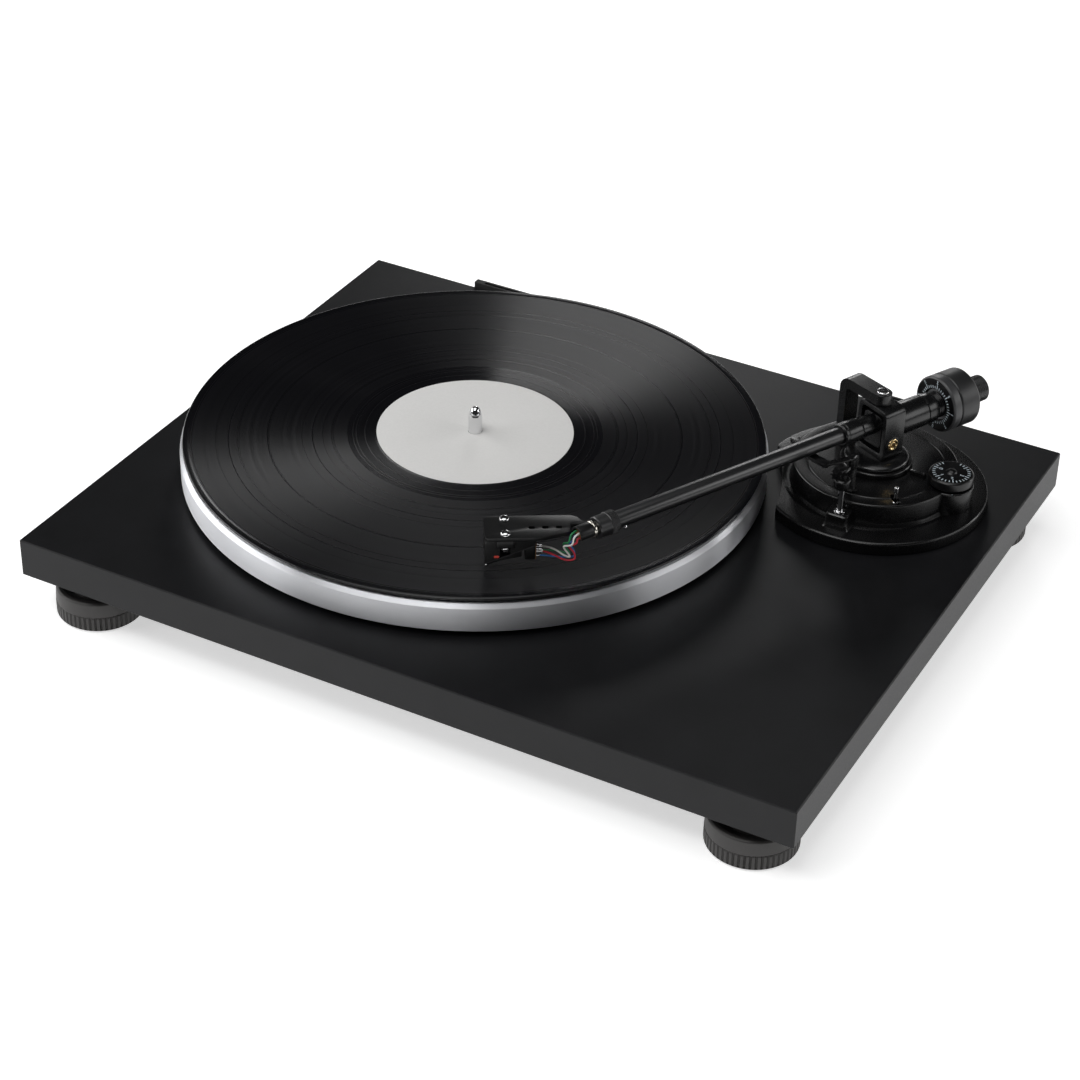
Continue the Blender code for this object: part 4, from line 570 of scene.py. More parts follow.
def recoat(node, material):
    """A CAD node that keeps its shape gets the finish."""
    obj = frame["nodes"][node]
    obj.data.materials.clear()
    obj.data.materials.append(material)


# Plinth, feet and connectors


def make_plinth():
    for node, material in (("plinth", LACQUER), ("bottom_cover", MOULDING), ("rear_panel", MOULDING),
                           ("circuit_board", BOARD), ("motor", STEEL), ("bearing_housing", STEEL),
                           ("drive_belt", RUBBER), ("sub_platter", MOULDING), ("motor_pulley", BRASS),
                           ("arm_axle", STEEL), ("counterweight_bush", STEEL)):
        recoat(node, material)


def make_foot(node, body):
    centre = pivot(body + "_turn")
    top, shoulder = high(node).z, 17.0
    profile = [(0, 0), (FOOT_R - 1.4, 0), (FOOT_R - 0.3, 1.0), (FOOT_R, 1.6), (FOOT_R, 8.3),
               (FOOT_R - 0.5, 8.7),
               (FOOT_R - 0.1, 9.3), (FOOT_R - 0.5, shoulder - 0.9), (FOOT_R - 1.5, shoulder),
               (FOOT_R - 3.4, shoulder), (FOOT_R - 4.2, shoulder - 2.6), (13.5, shoulder - 2.6),
               (13.5, top), (0, top)]

    def ribs(turn, height, radius):
        inside = 1.2 < height < 8.45 and radius > FOOT_R - 1
        return -0.75 * max(0.0, math.sin(turn * FOOT_RIBS)) ** 0.6 if inside else 0.0

    mesh = turned(profile, FOOT_RIBS * 8, edge=0.35, wave=ribs)
    piece(node, mesh, body, FOOT_GREY, place(centre.x, centre.y), (node,), sharp=40)
    levelling = turned([(0, 0.9), (4.0, 0.9), (4.4, 0.5), (4.4, 0.25), (0, 0.25)], 48, edge=0.15)
    piece(node + "_pad", levelling, body, MOULDING, place(centre.x, centre.y))


def make_hinge_socket(node):
    lo, hi = low(node), high(node)
    middle = (lo.y + hi.y) / 2
    centre = (lo.x + hi.x) / 2
    solid = block((lo.x, hi.x), (lo.y, hi.y), (lo.z, hi.z), edge=0.9, radius=0.8)
    slot = block((centre - 15, centre + 15), (middle - 1, middle + 1), (hi.z - 13, hi.z + 2), edge=0)
    piece(node, carved(solid, slot), "chassis", MOULDING, stands_for=(node,))


def behind(node):
    """A frame at a rear connector's centre whose Z axis points out of the back."""
    lo, hi = low(node), high(node)
    return (Matrix.Translation(Vector(((lo.x + hi.x) / 2, REAR_Y, (lo.z + hi.z) / 2)) * MM)
            @ Matrix.Rotation(-math.pi / 2, 4, "X"))


def make_connectors():
    for node, material in (("phono_jack_left", WHITE_JACK), ("phono_jack_right", RED_JACK)):
        collar = turned(ring_profile(4.3, 5.0, 0.1, 1.3), 64, edge=0.2)
        insert = turned([(2.3, 6.6), (3.5, 6.6), (3.5, 0.2), (0, 0.2), (0, 2.0), (2.3, 2.0), (2.3, 6.6)],
                        48, edge=0.15)
        shell = turned(ring_profile(3.5, 4.1, 0.2, 8.4), 64, edge=0.2)
        piece(node, merged(collar, shell), "chassis", NICKEL, behind(node), (node,))
        piece(node + "_insert", insert, "chassis", material, behind(node))
    nut = turned([(1.65, 7.9), (3.1, 7.9), (3.8, 7.2), (4.0, 6.9), (4.0, 1.9), (3.7, 1.6), (1.65, 1.6),
                  (1.65, 7.9)],
                 36 * 6, edge=0.2, wave=lambda turn, height, radius:
                 -0.3 * abs(math.sin(turn * 18)) if radius > 3.75 and 1.7 < height < 7 else 0.0)
    piece("ground_terminal", nut, "ground_nut", NICKEL, behind("ground_terminal"), ("ground_terminal",))
    body = block((-5.0, 5.0), (-5.5, 5.5), (0.1, 6.4), edge=0.4, radius=1.2)
    well = turned(ring_profile(0.9, 2.7, 1.6, 9.0), 48, edge=0)
    piece("power_inlet", carved(body, well), "chassis", MOULDING, behind("power_inlet"), ("power_inlet",))
    lo, hi = low("gain_switch"), high("gain_switch")
    ridges = [block((lo.x + 0.5 + 0.7 * i, lo.x + 0.8 + 0.7 * i), (hi.y - 0.5, hi.y + 0.25),
                    (lo.z + 0.3, hi.z - 0.3), edge=0.1, radius=0.1) for i in range(4)]
    slider = block((lo.x, hi.x), (lo.y, hi.y - 0.3), (lo.z, hi.z), edge=0.2, radius=0.2)
    piece("gain_switch", merged(slider, *ridges), "gain_slider", WHITE_JACK, stands_for=("gain_switch",))


def make_speed_knob():
    centre = pivot("speed_knob_turn")
    top, bottom = TOP_Z - 21.3, low("speed_knob").z
    profile = [(0, bottom), (7.6, bottom), (9.0, bottom + 1.0), (9.0, top - 0.8), (8.2, top), (2.0, top),
               (2.0, top + 9), (0, top + 9)]
    grip = turned(profile, 240, edge=0.4, wave=lambda turn, height, radius:
                  -0.35 * max(0.0, math.sin(turn * 24)) if radius > 8.7 and height < top - 0.5 else 0.0)
    mark = block((-0.5, 0.5), (-8.4, -3.5), (bottom - 0.12, bottom + 0.4), edge=0.08, radius=0.4)
    piece("speed_knob", grip, "selector", MOULDING, place(centre.x, centre.y), ("speed_knob",))
    piece("speed_knob_mark", mark, "selector", WHITE_INK, place(centre.x, centre.y))


# Platter and record


def make_platter():
    top, bottom = high("platter").z, low("platter").z
    land = PLATTER_R - PLATTER_LAND_R
    profile = [(HOLE_R, top), (PLATTER_LAND_R, top), (PLATTER_R, top - land), (PLATTER_R, bottom + 0.6),
               (PLATTER_R - 0.6, bottom), (PLATTER_RECESS_R, bottom), (PLATTER_RECESS_R, top - 4),
               (HOLE_R, top - 4), (HOLE_R, top)]
    piece("platter", turned(profile, 360, edge=0.25), "platter_group", ALUMINIUM, PLATTER, ("platter",))
    lo, hi = low("slipmat").z, high("slipmat").z
    piece("slipmat", turned(ring_profile(HOLE_R, 148.0, lo, hi), 240, edge=0.3), "platter_group", FELT,
          PLATTER, ("slipmat",))


def make_record():
    top, bottom = high("record").z, low("record").z
    field, seat = top - 0.32, top - 0.25
    profile = [(HOLE_R, seat), (LABEL_R + 0.5, seat), (LABEL_R + 0.9, seat + 0.08), (GROOVES_FROM, field),
               (GROOVES_TO, field), (148.0, top - 0.02), (149.4, top), (RECORD_R - 0.35, top - 0.25),
               (RECORD_R, top - 0.7), (RECORD_R, bottom + 0.6), (RECORD_R - 0.5, bottom), (HOLE_R, bottom),
               (HOLE_R, seat)]
    piece("record", turned(profile, 360, edge=0.25), "platter_group", VINYL, PLATTER, ("record",))
    lo, hi = low("record_label").z, high("record_label").z
    piece("record_label", turned(ring_profile(HOLE_R, LABEL_R, lo, hi), 240, edge=0.1), "platter_group",
          PAPER, PLATTER, ("record_label",))
    lo, hi = low("spindle").z, high("spindle").z
    nose = [(3.6 * math.cos(math.radians(a)) ** 0.8, hi - 6.9 + 6.9 * math.sin(math.radians(a)) ** 1.15)
            for a in range(90, -1, -10)]
    profile = [(0, hi)] + [(max(r, 0.2), z) for r, z in nose[1:]] + [(3.6, lo + 1), (2.6, lo), (0, lo)]
    piece("spindle", turned(profile, 96, edge=0.12), "platter_group", CHROME, PLATTER, ("spindle",), sharp=50)


# Tonearm base


def make_arm_base():
    disc = [(0, BASE_TOP - 0.6), (DECK_R + 2.6, BASE_TOP - 0.6), (DECK_R + 4.6, BASE_TOP),
            (BASE_R - 0.9, BASE_TOP), (BASE_R, BASE_TOP - 0.8), (BASE_R, TOP_Z + 0.3), (0, TOP_Z + 0.3)]
    relief = turned(post(BASE_RELIEF_R, TOP_Z - 2, BASE_TOP + 4), 360, edge=0)
    relief = moved(relief, SPINDLE.x - PIVOT.x, SPINDLE.y - PIVOT.y)
    piece("arm_base", carved(turned(disc, 240, edge=0.45), relief), "chassis", CASTING, BASE, ("arm_base",))
    deck = [(4.4, DECK_TOP - 0.02), (DECK_GROOVE_R - 0.7, DECK_TOP), (DECK_GROOVE_R - 0.4, DECK_TOP - 0.4),
            (DECK_GROOVE_R, DECK_TOP - 0.4), (DECK_GROOVE_R + 0.3, DECK_TOP), (DECK_R - 0.6, DECK_TOP),
            (DECK_R, DECK_TOP - 0.6), (DECK_R, BASE_TOP + 1.2), (DECK_R + 1.2, BASE_TOP - 0.9),
            (4.4, BASE_TOP - 0.9), (4.4, DECK_TOP - 0.02)]
    lever = pivot("cue_lever_tilt") - PIVOT
    slot = slab([rectangle(-5.0, 5.0, -1.8, 1.8, 1.7)], DECK_TOP - 6, DECK_TOP + 2, edge=0)
    slot = moved(slot, lever.x, lever.y, 0, -52)
    bias_hole = moved(turned(post(2.3, DECK_TOP - 6, DECK_TOP + 2), 32, edge=0), BIAS_X, BIAS_Y)
    piece("arm_deck", carved(turned(deck, 240, edge=0.35), slot, bias_hole), "chassis", CASTING, BASE)
    boss = turned([(2.3, DECK_TOP), (BIAS_BOSS_R - 0.6, DECK_TOP), (BIAS_BOSS_R, DECK_TOP - 0.6),
                   (BIAS_BOSS_R, BASE_TOP - 0.9), (2.3, BASE_TOP - 0.9), (2.3, DECK_TOP)], 120, edge=0.4)
    piece("bias_boss", boss, "chassis", CASTING, BIAS)
    stem = turned(post(15.0, 26.0, TOP_Z + 1), 64, edge=0.5)
    piece("arm_stem", stem, "chassis", STEEL, BASE)
    collar = [(4.2, COLLAR_TOP), (17.9, COLLAR_TOP), (18.5, COLLAR_TOP - 0.6), (18.5, DECK_TOP + 0.3),
              (4.2, DECK_TOP + 0.3), (4.2, COLLAR_TOP)]
    piece("arm_pillar", turned(collar, 160, edge=0.3), "chassis", CASTING, BASE, ("arm_pillar",))


def make_pedestal():
    """The rest's foot, flared towards the base disc."""
    rest = low("rest_rod") * 0.5 + high("rest_rod") * 0.5
    bottom, top = BASE_TOP - 0.9, DECK_TOP - 4.5
    rings = []
    for t in [i / 8 for i in range(9)]:
        half = 5.75 + 1.9 * (1 - t) ** 3
        height = bottom + (top - 0.5 - bottom) * t
        rings.append([(x, y, height) for x, y in rectangle(-half, half, -half + 1, half + 1, 2.2)])
    rings.append([(x, y, top) for x, y in rectangle(-5.2, 5.2, -4.2, 6.2, 1.8)])
    piece("rest_pedestal", skin(rings), "chassis", CASTING, place(rest.x, rest.y))
    rod_mesh = turned(post(1.7, top - 3, low("rest_saddle").z + 0.4), 48, edge=0.1)
    washer = turned(ring_profile(1.7, 2.9, top, top + 0.7), 48, edge=0.2)
    piece("rest_rod", merged(rod_mesh, washer), "chassis", CHROME, place(rest.x, rest.y), ("rest_rod",))
    return rest


def make_rest(rest):
    bottom = low("rest_saddle").z
    cap = turned([(0, bottom + 5.6), (3.2, bottom + 5.6), (4.2, bottom + 4.8), (4.2, bottom + 0.6),
                  (3.6, bottom), (0, bottom)], 64, edge=0.4)
    neck = turned(post(2.2, bottom + 5, TUBE_Z - 5.2), 40, edge=0.2)
    inner, outer = 4.7, 6.4
    outline = ([(outer, high("rest_saddle").z), (inner + 0.2, high("rest_saddle").z)]
               + arc((0, TUBE_Z), inner, 0, -108, 24) + arc((0, TUBE_Z), outer, -108, 0, 24))
    cradle = upright(slab([outline], -3, 3, edge=0.35))
    clip = pivot("rest_clip_tip")
    lug = block((-4.7, 0), (-3, 2), (clip.z - 1.6, clip.z + 1.6), edge=0.3, radius=0.5)
    piece("rest_saddle", merged(cap, neck, cradle, lug), "chassis", CASTING, place(rest.x, rest.y),
          ("rest_saddle",))
    lo, hi = low("rest_clip"), high("rest_clip")
    half = (hi.z - lo.z) / 2
    outline = arc((0, 0), half, 90, 270, 10) + [(hi.y - clip.y - 1.4, -half)] + \
        arc((hi.y - clip.y - 0.8, 0), 0.8, -90, 90, 6) + [(hi.y - clip.y - 1.4, half)]
    finger = crosswise(slab([outline], lo.x - clip.x, lo.x - clip.x + 0.9, edge=0.18))
    pin = lying_post(0.7, lo.x - clip.x + 0.4, hi.x - clip.x)
    piece("rest_clip", merged(finger, pin), "clip", CASTING, place(clip.x, clip.y, clip.z), ("rest_clip",))


def lying_post(radius, start, end):
    """A short pin along X."""
    mesh = turned(post(radius, start, end), 24, edge=0.1)
    mesh.transform(Matrix.Rotation(math.pi / 2, 4, "Y"))
    return mesh


def make_lift():
    lo, hi = low("cue_cylinder"), high("cue_cylinder")
    x, y = (lo.x + hi.x) / 2, (lo.y + hi.y) / 2
    barrel = turned([(1.8, hi.z), (2.3, hi.z), (2.6, hi.z - 0.3), (2.6, lo.z + 1.3), (3.8, lo.z + 1.1),
                     (3.8, lo.z), (1.8, lo.z), (1.8, hi.z)], 48, edge=0.2)
    piece("cue_cylinder", barrel, "chassis", CASTING, place(x, y), ("cue_cylinder",))
    top = high("cue_platform").z
    centre = (PIVOT.x - x, PIVOT.y - y)
    bar = slab([arc(centre, 47.45, 222, 259, 40) + arc(centre, 42.95, 259, 222, 40)], top - 2, top, edge=0.4)
    tip = heading_vector(256.5) * 45.2 + Vector((centre[0], centre[1], 0))
    side = Vector((-tip.y, tip.x, 0)).normalized() * 1.8
    corners = [-side, tip - side, tip + side, side]
    link = slab([[(c.x, c.y) for c in corners]], top - 1.8, top - 1.0, edge=0.2)
    cap = turned([(0, top - 0.8), (2.6, top - 0.8), (2.9, top - 1.1), (2.9, top - 2), (1.7, top - 2),
                  (1.7, low("cue_platform").z), (0, low("cue_platform").z)], 48, edge=0.2)
    piece("cue_platform", merged(bar, link, cap), "lifter", CASTING, place(x, y), ("cue_platform",))
    grip = pivot("cue_lever_tilt")
    rise = high("cue_lever").z - grip.z
    pin = turned([(0, rise), (0.85, rise), (1.15, rise - 0.35), (1.15, rise - 3.1), (0.95, rise - 3.4),
                  (0.95, -1), (0, -1)], 40, edge=0.15)
    barrel = turned(post(1.5, -1.5, 1.5), 32, edge=0.15)
    barrel.transform(Matrix.Rotation(math.pi / 2, 4, "X"))
    piece("cue_lever", merged(pin, barrel), "lift_lever", CHROME, place(grip.x, grip.y, grip.z, -52),
          ("cue_lever",))


def make_arch():
    width, outer, corner = 9.5, 25.6, 6.5
    foot, under, inner = DECK_TOP + 0.3, ARCH_TOP - 5.6, 21.0
    outline = ([(inner, foot), (outer, foot)] + arc((outer - corner, ARCH_TOP - corner), corner, 0, 90, 14)
               + [(0, ARCH_TOP), (0, under)] + arc((inner - 2.4, under - 2.4), 2.4, 90, 0, 8))
    side = upright(slab([outline], -width / 2, width / 2, edge=0))
    eye = turned(post(width / 2 + 0.02, under, ARCH_TOP), 96, edge=0)
    obj, tool = loose(side), loose(eye)
    union = obj.modifiers.new("Eye", "BOOLEAN")
    union.operation = "UNION"
    union.object = tool
    body = evaluated(obj)
    bpy.data.objects.remove(tool)
    screw = turned([(0, ARCH_TOP + 1.1), (2.7, ARCH_TOP + 1.1), (3.1, ARCH_TOP + 0.7), (3.1, ARCH_TOP + 0.1),
                    (2.2, ARCH_TOP + 0.1), (2.2, under), (0, under)], 48, edge=0.2)
    slot = block((-6, 6), (-0.4, 0.4), (ARCH_TOP + 0.4, ARCH_TOP + 3), edge=0, radius=0.01)
    piece("arm_arch", softened(body, 0.8, 3, 30), "chassis", ARM_BLACK, place(PIVOT.x, PIVOT.y, 0, 157),
          ("arm_arch",), sharp=40)
    piece("arch_screw", carved(screw, moved(slot, heading=20)), "chassis", CHROME, BASE, ("arch_screw",))


def make_bias_dial():
    bottom, hub, face = DECK_TOP + 0.9, high("anti_skate_dial").z, high("anti_skate_dial").z - 1.6
    knob = [(0, hub), (1.2, hub - 0.15), (2.4, hub - 0.8), (3.0, face + 0.15), (3.6, face),
            (BIAS_R - 1.0, face),
            (BIAS_R, face - 0.8), (BIAS_R, bottom + 0.5), (BIAS_R - 0.5, bottom), (2.0, bottom),
            (2.0, bottom - 5), (0, bottom - 5)]
    piece("anti_skate_dial", turned(knob, 180, edge=0.3), "bias_dial", DIAL_BLACK, BIAS, ("anti_skate_dial",))
    ticks = []
    for i in range(30):
        if i in (13, 14, 15, 16):
            continue
        long = i % 5 == 0
        tick = block((7.4 if long else 8.2, 9.8), (-0.22, 0.22), (face - 0.05, face + 0.05), edge=0,
                     radius=0.05)
        ticks.append(moved(tick, heading=12 * i - 64))
    for i, text in enumerate("0123"):
        angle = -64 + 60 * (i - 2)
        digit = moved(lettering(text, 3.0, 0.08), heading=-90)
        digit.transform(place(*(heading_vector(angle) * 5.7).xy, face, angle))
        ticks.append(digit)
    piece("bias_scale", merged(*ticks), "bias_dial", WHITE_INK, BIAS)
    index = block((BIAS_R + 0.1, BIAS_BOSS_R - 0.1), (-0.2, 0.2), (DECK_TOP - 0.05, DECK_TOP + 0.1), edge=0,
                  radius=0.05)
    piece("bias_index", moved(index, heading=-64), "chassis", WHITE_INK, BIAS)
    lo, hi = low("anti_skate_link").z, high("anti_skate_link").z
    outline = arc((27.2, 0), 1.2, -90, 90, 12) + [(24, 0.7)] + arc((20.8, 0), 1.2, 90, 270, 12) + [(24, -0.7)]
    link = slab([outline], lo, hi, edge=0.35)
    head = moved(turned([(0, hi + 0.7), (0.7, hi + 0.7), (1.0, hi + 0.4), (1.0, hi), (0, hi)], 24,
                        edge=0.1), 27.2)
    piece("anti_skate_link", merged(link, head), "chassis", CASTING, place(PIVOT.x, PIVOT.y, 0, -4),
          ("anti_skate_link",))


# Tonearm


def make_yoke():
    bottom, top = TOP_Z + 24.5, high("arm_yoke").z
    half, wall = YOKE_HALF, YOKE_WALL
    outer = rectangle(-half, half, bottom, top, 5.0)
    inner = rectangle(-half + wall, half - wall, bottom + 4.4, top - wall, 2.4)
    gate = crosswise(slab([outer, inner], YOKE_REAR, YOKE_FRONT, edge=0.9))
    floor = COLLAR_TOP + 0.3
    dome = [(0, bottom + 1.2)] + [(8 + 8.6 * math.cos(t), floor + 0.6 + (bottom + 0.6 - floor) * math.sin(t))
                                  for t in [math.radians(a) for a in range(80, -1, -10)]]
    dome += [(16.6, floor), (4.0, floor), (4.0, low("arm_yoke").z), (0, low("arm_yoke").z)]
    cheeks = []
    for side in (-1, 1):
        cheek = turned(post(4.3, 0, 0.35), 64, edge=0.15)
        cheek.transform(Matrix.Translation((0, side * half * MM, AXLE_Z * MM))
                        @ Matrix.Rotation(-side * math.pi / 2, 4, "X"))
        cheeks.append(cheek)
    piece("arm_yoke", merged(gate, turned(dome, 160, edge=0.3), *cheeks), "yoke", ARM_BLACK, ARM,
          ("arm_yoke",), sharp=40)
    for node, side in (("bearing_screw_right", 1), ("bearing_screw_left", -1)):
        head = half + 0.9
        ring = turned([(1.9, head - 0.5), (2.3, head), (3.0, head), (3.35, head - 0.4), (3.35, half + 0.1),
                       (0, half + 0.1), (0, head - 0.5), (1.9, head - 0.5)], 64, edge=0.12)
        stud = turned([(0, head - 0.1), (1.5, head - 0.1), (1.7, head - 0.3), (1.7, half - wall + 0.1),
                       (0, half - wall + 0.1)],
                      48, edge=0.1)
        slot = block((-4, 4), (-0.3, 0.3), (head - 0.55, head + 2), edge=0, radius=0.01)
        screw = merged(ring, carved(stud, moved(slot, heading=35)))
        at = ARM @ Matrix.Translation((0, 0, AXLE_Z * MM)) @ Matrix.Rotation(-side * math.pi / 2, 4, "X")
        piece(node, screw, "yoke", BRASS, at, (node,))


def make_hub():
    outline = rectangle(-6.8, 6.8, TOP_Z + 31, TUBE_Z + SLEEVE_R - 0.6, 3.4)
    core = crosswise(slab([outline], -5, 5, edge=0.6))
    sleeve = turned([(4.35, 27), (5.4, 27), (6.0, 26.4), (6.0, 25.4), (5.75, 25.2), (5.75, 24.6), (6.0, 24.4),
                     (6.0, 16.2), (5.6, 15.2), (5.4, 14.9), (5.4, 0), (4.35, 0), (4.35, 27)], 96, edge=0.15)
    sleeve.transform(Matrix.Translation((0, 0, TUBE_Z * MM)) @ Matrix.Rotation(math.pi / 2, 4, "Y"))
    profile = [(0, -2), (6.0, -2), (6.0, -9), (STUB_R - 0.6, -9), (STUB_R, -9.8), (STUB_R, -27),
               (STUB_R - 0.9, -27.1),
               (STUB_R - 0.9, -27.7), (STUB_R - 0.3, -27.8), (STUB_R - 0.3, -33.6), (THREAD_R, -34.2)]
    thread = [(THREAD_R - (0.28 if i % 2 else 0), -34.6 - 0.55 * i) for i in range(62)]
    profile += thread + [(THREAD_R, -69.0), (THREAD_R - 0.7, -69.7), (0, -69.7)]
    stub = turned(profile, 128, edge=0.12)
    stub.transform(Matrix.Translation((0, 0, STUB_Z * MM)) @ Matrix.Rotation(math.pi / 2, 4, "Y"))
    piece("arm_hub", merged(core, sleeve, stub), "arm", ARM_BLACK, ARM, ("arm_hub",), sharp=40)
    tube = turned(ring_profile(3.5, TUBE_R, 12.1, 170.0), 96, edge=0.1)
    lug = turned([(0, TUBE_R + 1.0), (0.6, TUBE_R + 1.0), (0.9, TUBE_R + 0.7), (0.9, TUBE_R - 0.5),
                  (0, TUBE_R - 0.5)],
                 32, edge=0.15)
    piece("arm_tube", tube, "arm", TUBE_BLACK, TUBE, ("arm_tube",))
    at = ARM @ Matrix.Translation((163.3 * MM, 0, TUBE_Z * MM)) @ Matrix.Rotation(math.radians(-140), 4, "X")
    piece("tube_lug", lug, "arm", CHROME, at)


def make_counterweight():
    front = DIAL_BACK - 0.3
    weight = [(8.35, WEIGHT_FRONT - 0.6), (10.0, WEIGHT_FRONT - 0.6), (10.0, front), (WEIGHT_R - 0.7, front),
              (WEIGHT_R, front - 0.7), (WEIGHT_R, WEIGHT_REAR + 1.4), (WEIGHT_R - 1.2, WEIGHT_REAR + 0.2),
              (WEIGHT_R - 2.4, WEIGHT_REAR), (8.35, WEIGHT_REAR), (8.35, WEIGHT_FRONT - 0.6)]
    piece("counterweight", turned(weight, 180, edge=0.3), "weight", WEIGHT_GREY, STUB, ("counterweight",))
    ring = [(10.1, WEIGHT_FRONT - 0.4), (WEIGHT_R - 0.8, WEIGHT_FRONT), (WEIGHT_R, WEIGHT_FRONT - 0.8),
            (WEIGHT_R, DIAL_BACK + 0.3), (WEIGHT_R - 0.3, DIAL_BACK), (10.1, DIAL_BACK),
            (10.1, WEIGHT_FRONT - 0.4)]
    piece("tracking_force_dial", turned(ring, 180, edge=0.25), "force_dial", RING_GREY, STUB,
          ("tracking_force_dial",))
    face = turned(ring_profile(8.6, WEIGHT_R - 1.0, WEIGHT_FRONT - 0.3, WEIGHT_FRONT + 0.06), 128, edge=0.05)
    piece("force_dial_face", face, "force_dial", DIAL_BLACK, STUB)
    ticks = []
    for i in range(40):
        tick = block((9.0, 11.4 if i % 5 == 0 else 10.4), (-0.2, 0.2),
                     (WEIGHT_FRONT + 0.02, WEIGHT_FRONT + 0.12), edge=0, radius=0.05)
        ticks.append(moved(tick, heading=9 * i))
    for i in range(8):
        digit = moved(lettering("0123"[i // 2] if i % 2 == 0 else "5", 2.5), heading=90)
        digit.transform(place(*(heading_vector(45 * i) * 12.9).xy, WEIGHT_FRONT + 0.08, 45 * i))
        ticks.append(digit)
    piece("force_scale", merged(*ticks), "force_dial", WHITE_INK, STUB)


def make_lock():
    """The collar: a diamond-knurled band behind a smooth nose."""
    def knurl(turn, height, radius):
        if not (168.35 < height < 172.5 and radius > 5.6):
            return 0.0
        a, b = math.sin(36 * turn + height * 3.9), math.sin(36 * turn - height * 3.9)
        return -0.34 * max(max(a, 0) ** 2, max(b, 0) ** 2)

    band_rows = [(5.9, 172.5 - 0.26 * i) for i in range(17)]
    profile = ([(3.2, 179.3), (5.0, 179.3), (5.5, 178.8), (5.5, 172.95), (5.75, 172.8)] + band_rows
               + [(5.75, 168.15), (5.4, 168.0), (4.42, 168.0), (4.42, 170.3), (3.2, 170.3), (3.2, 179.3)])
    piece("locking_collar", turned(profile, 36 * 8, edge=0.04, wave=knurl), "lock", COLLAR, TUBE,
          ("locking_collar",), sharp=60)


# Headshell and cartridge


def make_headshell():
    top = TOP_Z + 44.3
    outline = rounded([(-10, SHELL_HALF), (-10, -SHELL_HALF), (15.6, -SHELL_HALF), (42.2, -1.2), (42.2, 1.4),
                       (33, SHELL_HALF)], 2.8, closed=True, steps=6)
    slots = [rectangle(x - 1.6, x + 1.6, -1.9, 0.5, 1.1) for x in (12.7, 19.2, 25.7)]
    plate = slab([outline] + slots, top - SHELL_T, top, edge=0.35)
    to_shell = SHELL.inverted() @ PLUG
    clearance = turned(post(3.3, 0.9, 27), 48, edge=0)
    clearance.transform(to_shell)
    rear = block((-30, 30), (-30, 30), (-20, 0.9), edge=0, radius=0.01)
    rear.transform(to_shell)
    neck = block((31, 42.7), (-0.8, 2.0), (top - SHELL_T - 0.8, top + 1.6), edge=0.4, radius=0.8)
    hood = turned(ring_profile(3.1, 4.2, 1.9, 9.6), 96, edge=0.2)
    hood.transform(to_shell)
    below = block((0, 70), (-30, 30), (TUBE_Z - 20, TUBE_Z - 1.2), edge=0, radius=0.01)
    body = merged(carved(plate, clearance, rear), carved(neck, rear.copy(), clearance.copy()),
                  carved(hood, below))
    piece("headshell", body, "headshell_group", SHELL_BLACK, SHELL, ("headshell",), sharp=40)
    flange = turned([(0, 1.8), (3.9, 1.8), (4.4, 1.3), (4.4, 0.35), (4.1, 0.0), (3.0, 0), (3.0, -9.5),
                     (0, -9.5)],
                    80, edge=0.2)
    piece("headshell_flange", flange, "headshell_group", NICKEL, PLUG)
    plug = turned([(0, 8.5), (2.4, 8.5), (2.8, 8.1), (2.8, 6.6), (2.5, 6.4), (2.5, 5.9), (2.8, 5.7),
                   (2.8, 1.9), (0, 1.9)], 64, edge=0.15)
    piece("headshell_terminal", plug, "headshell_group", INSULATOR, PLUG, ("headshell_terminal",))


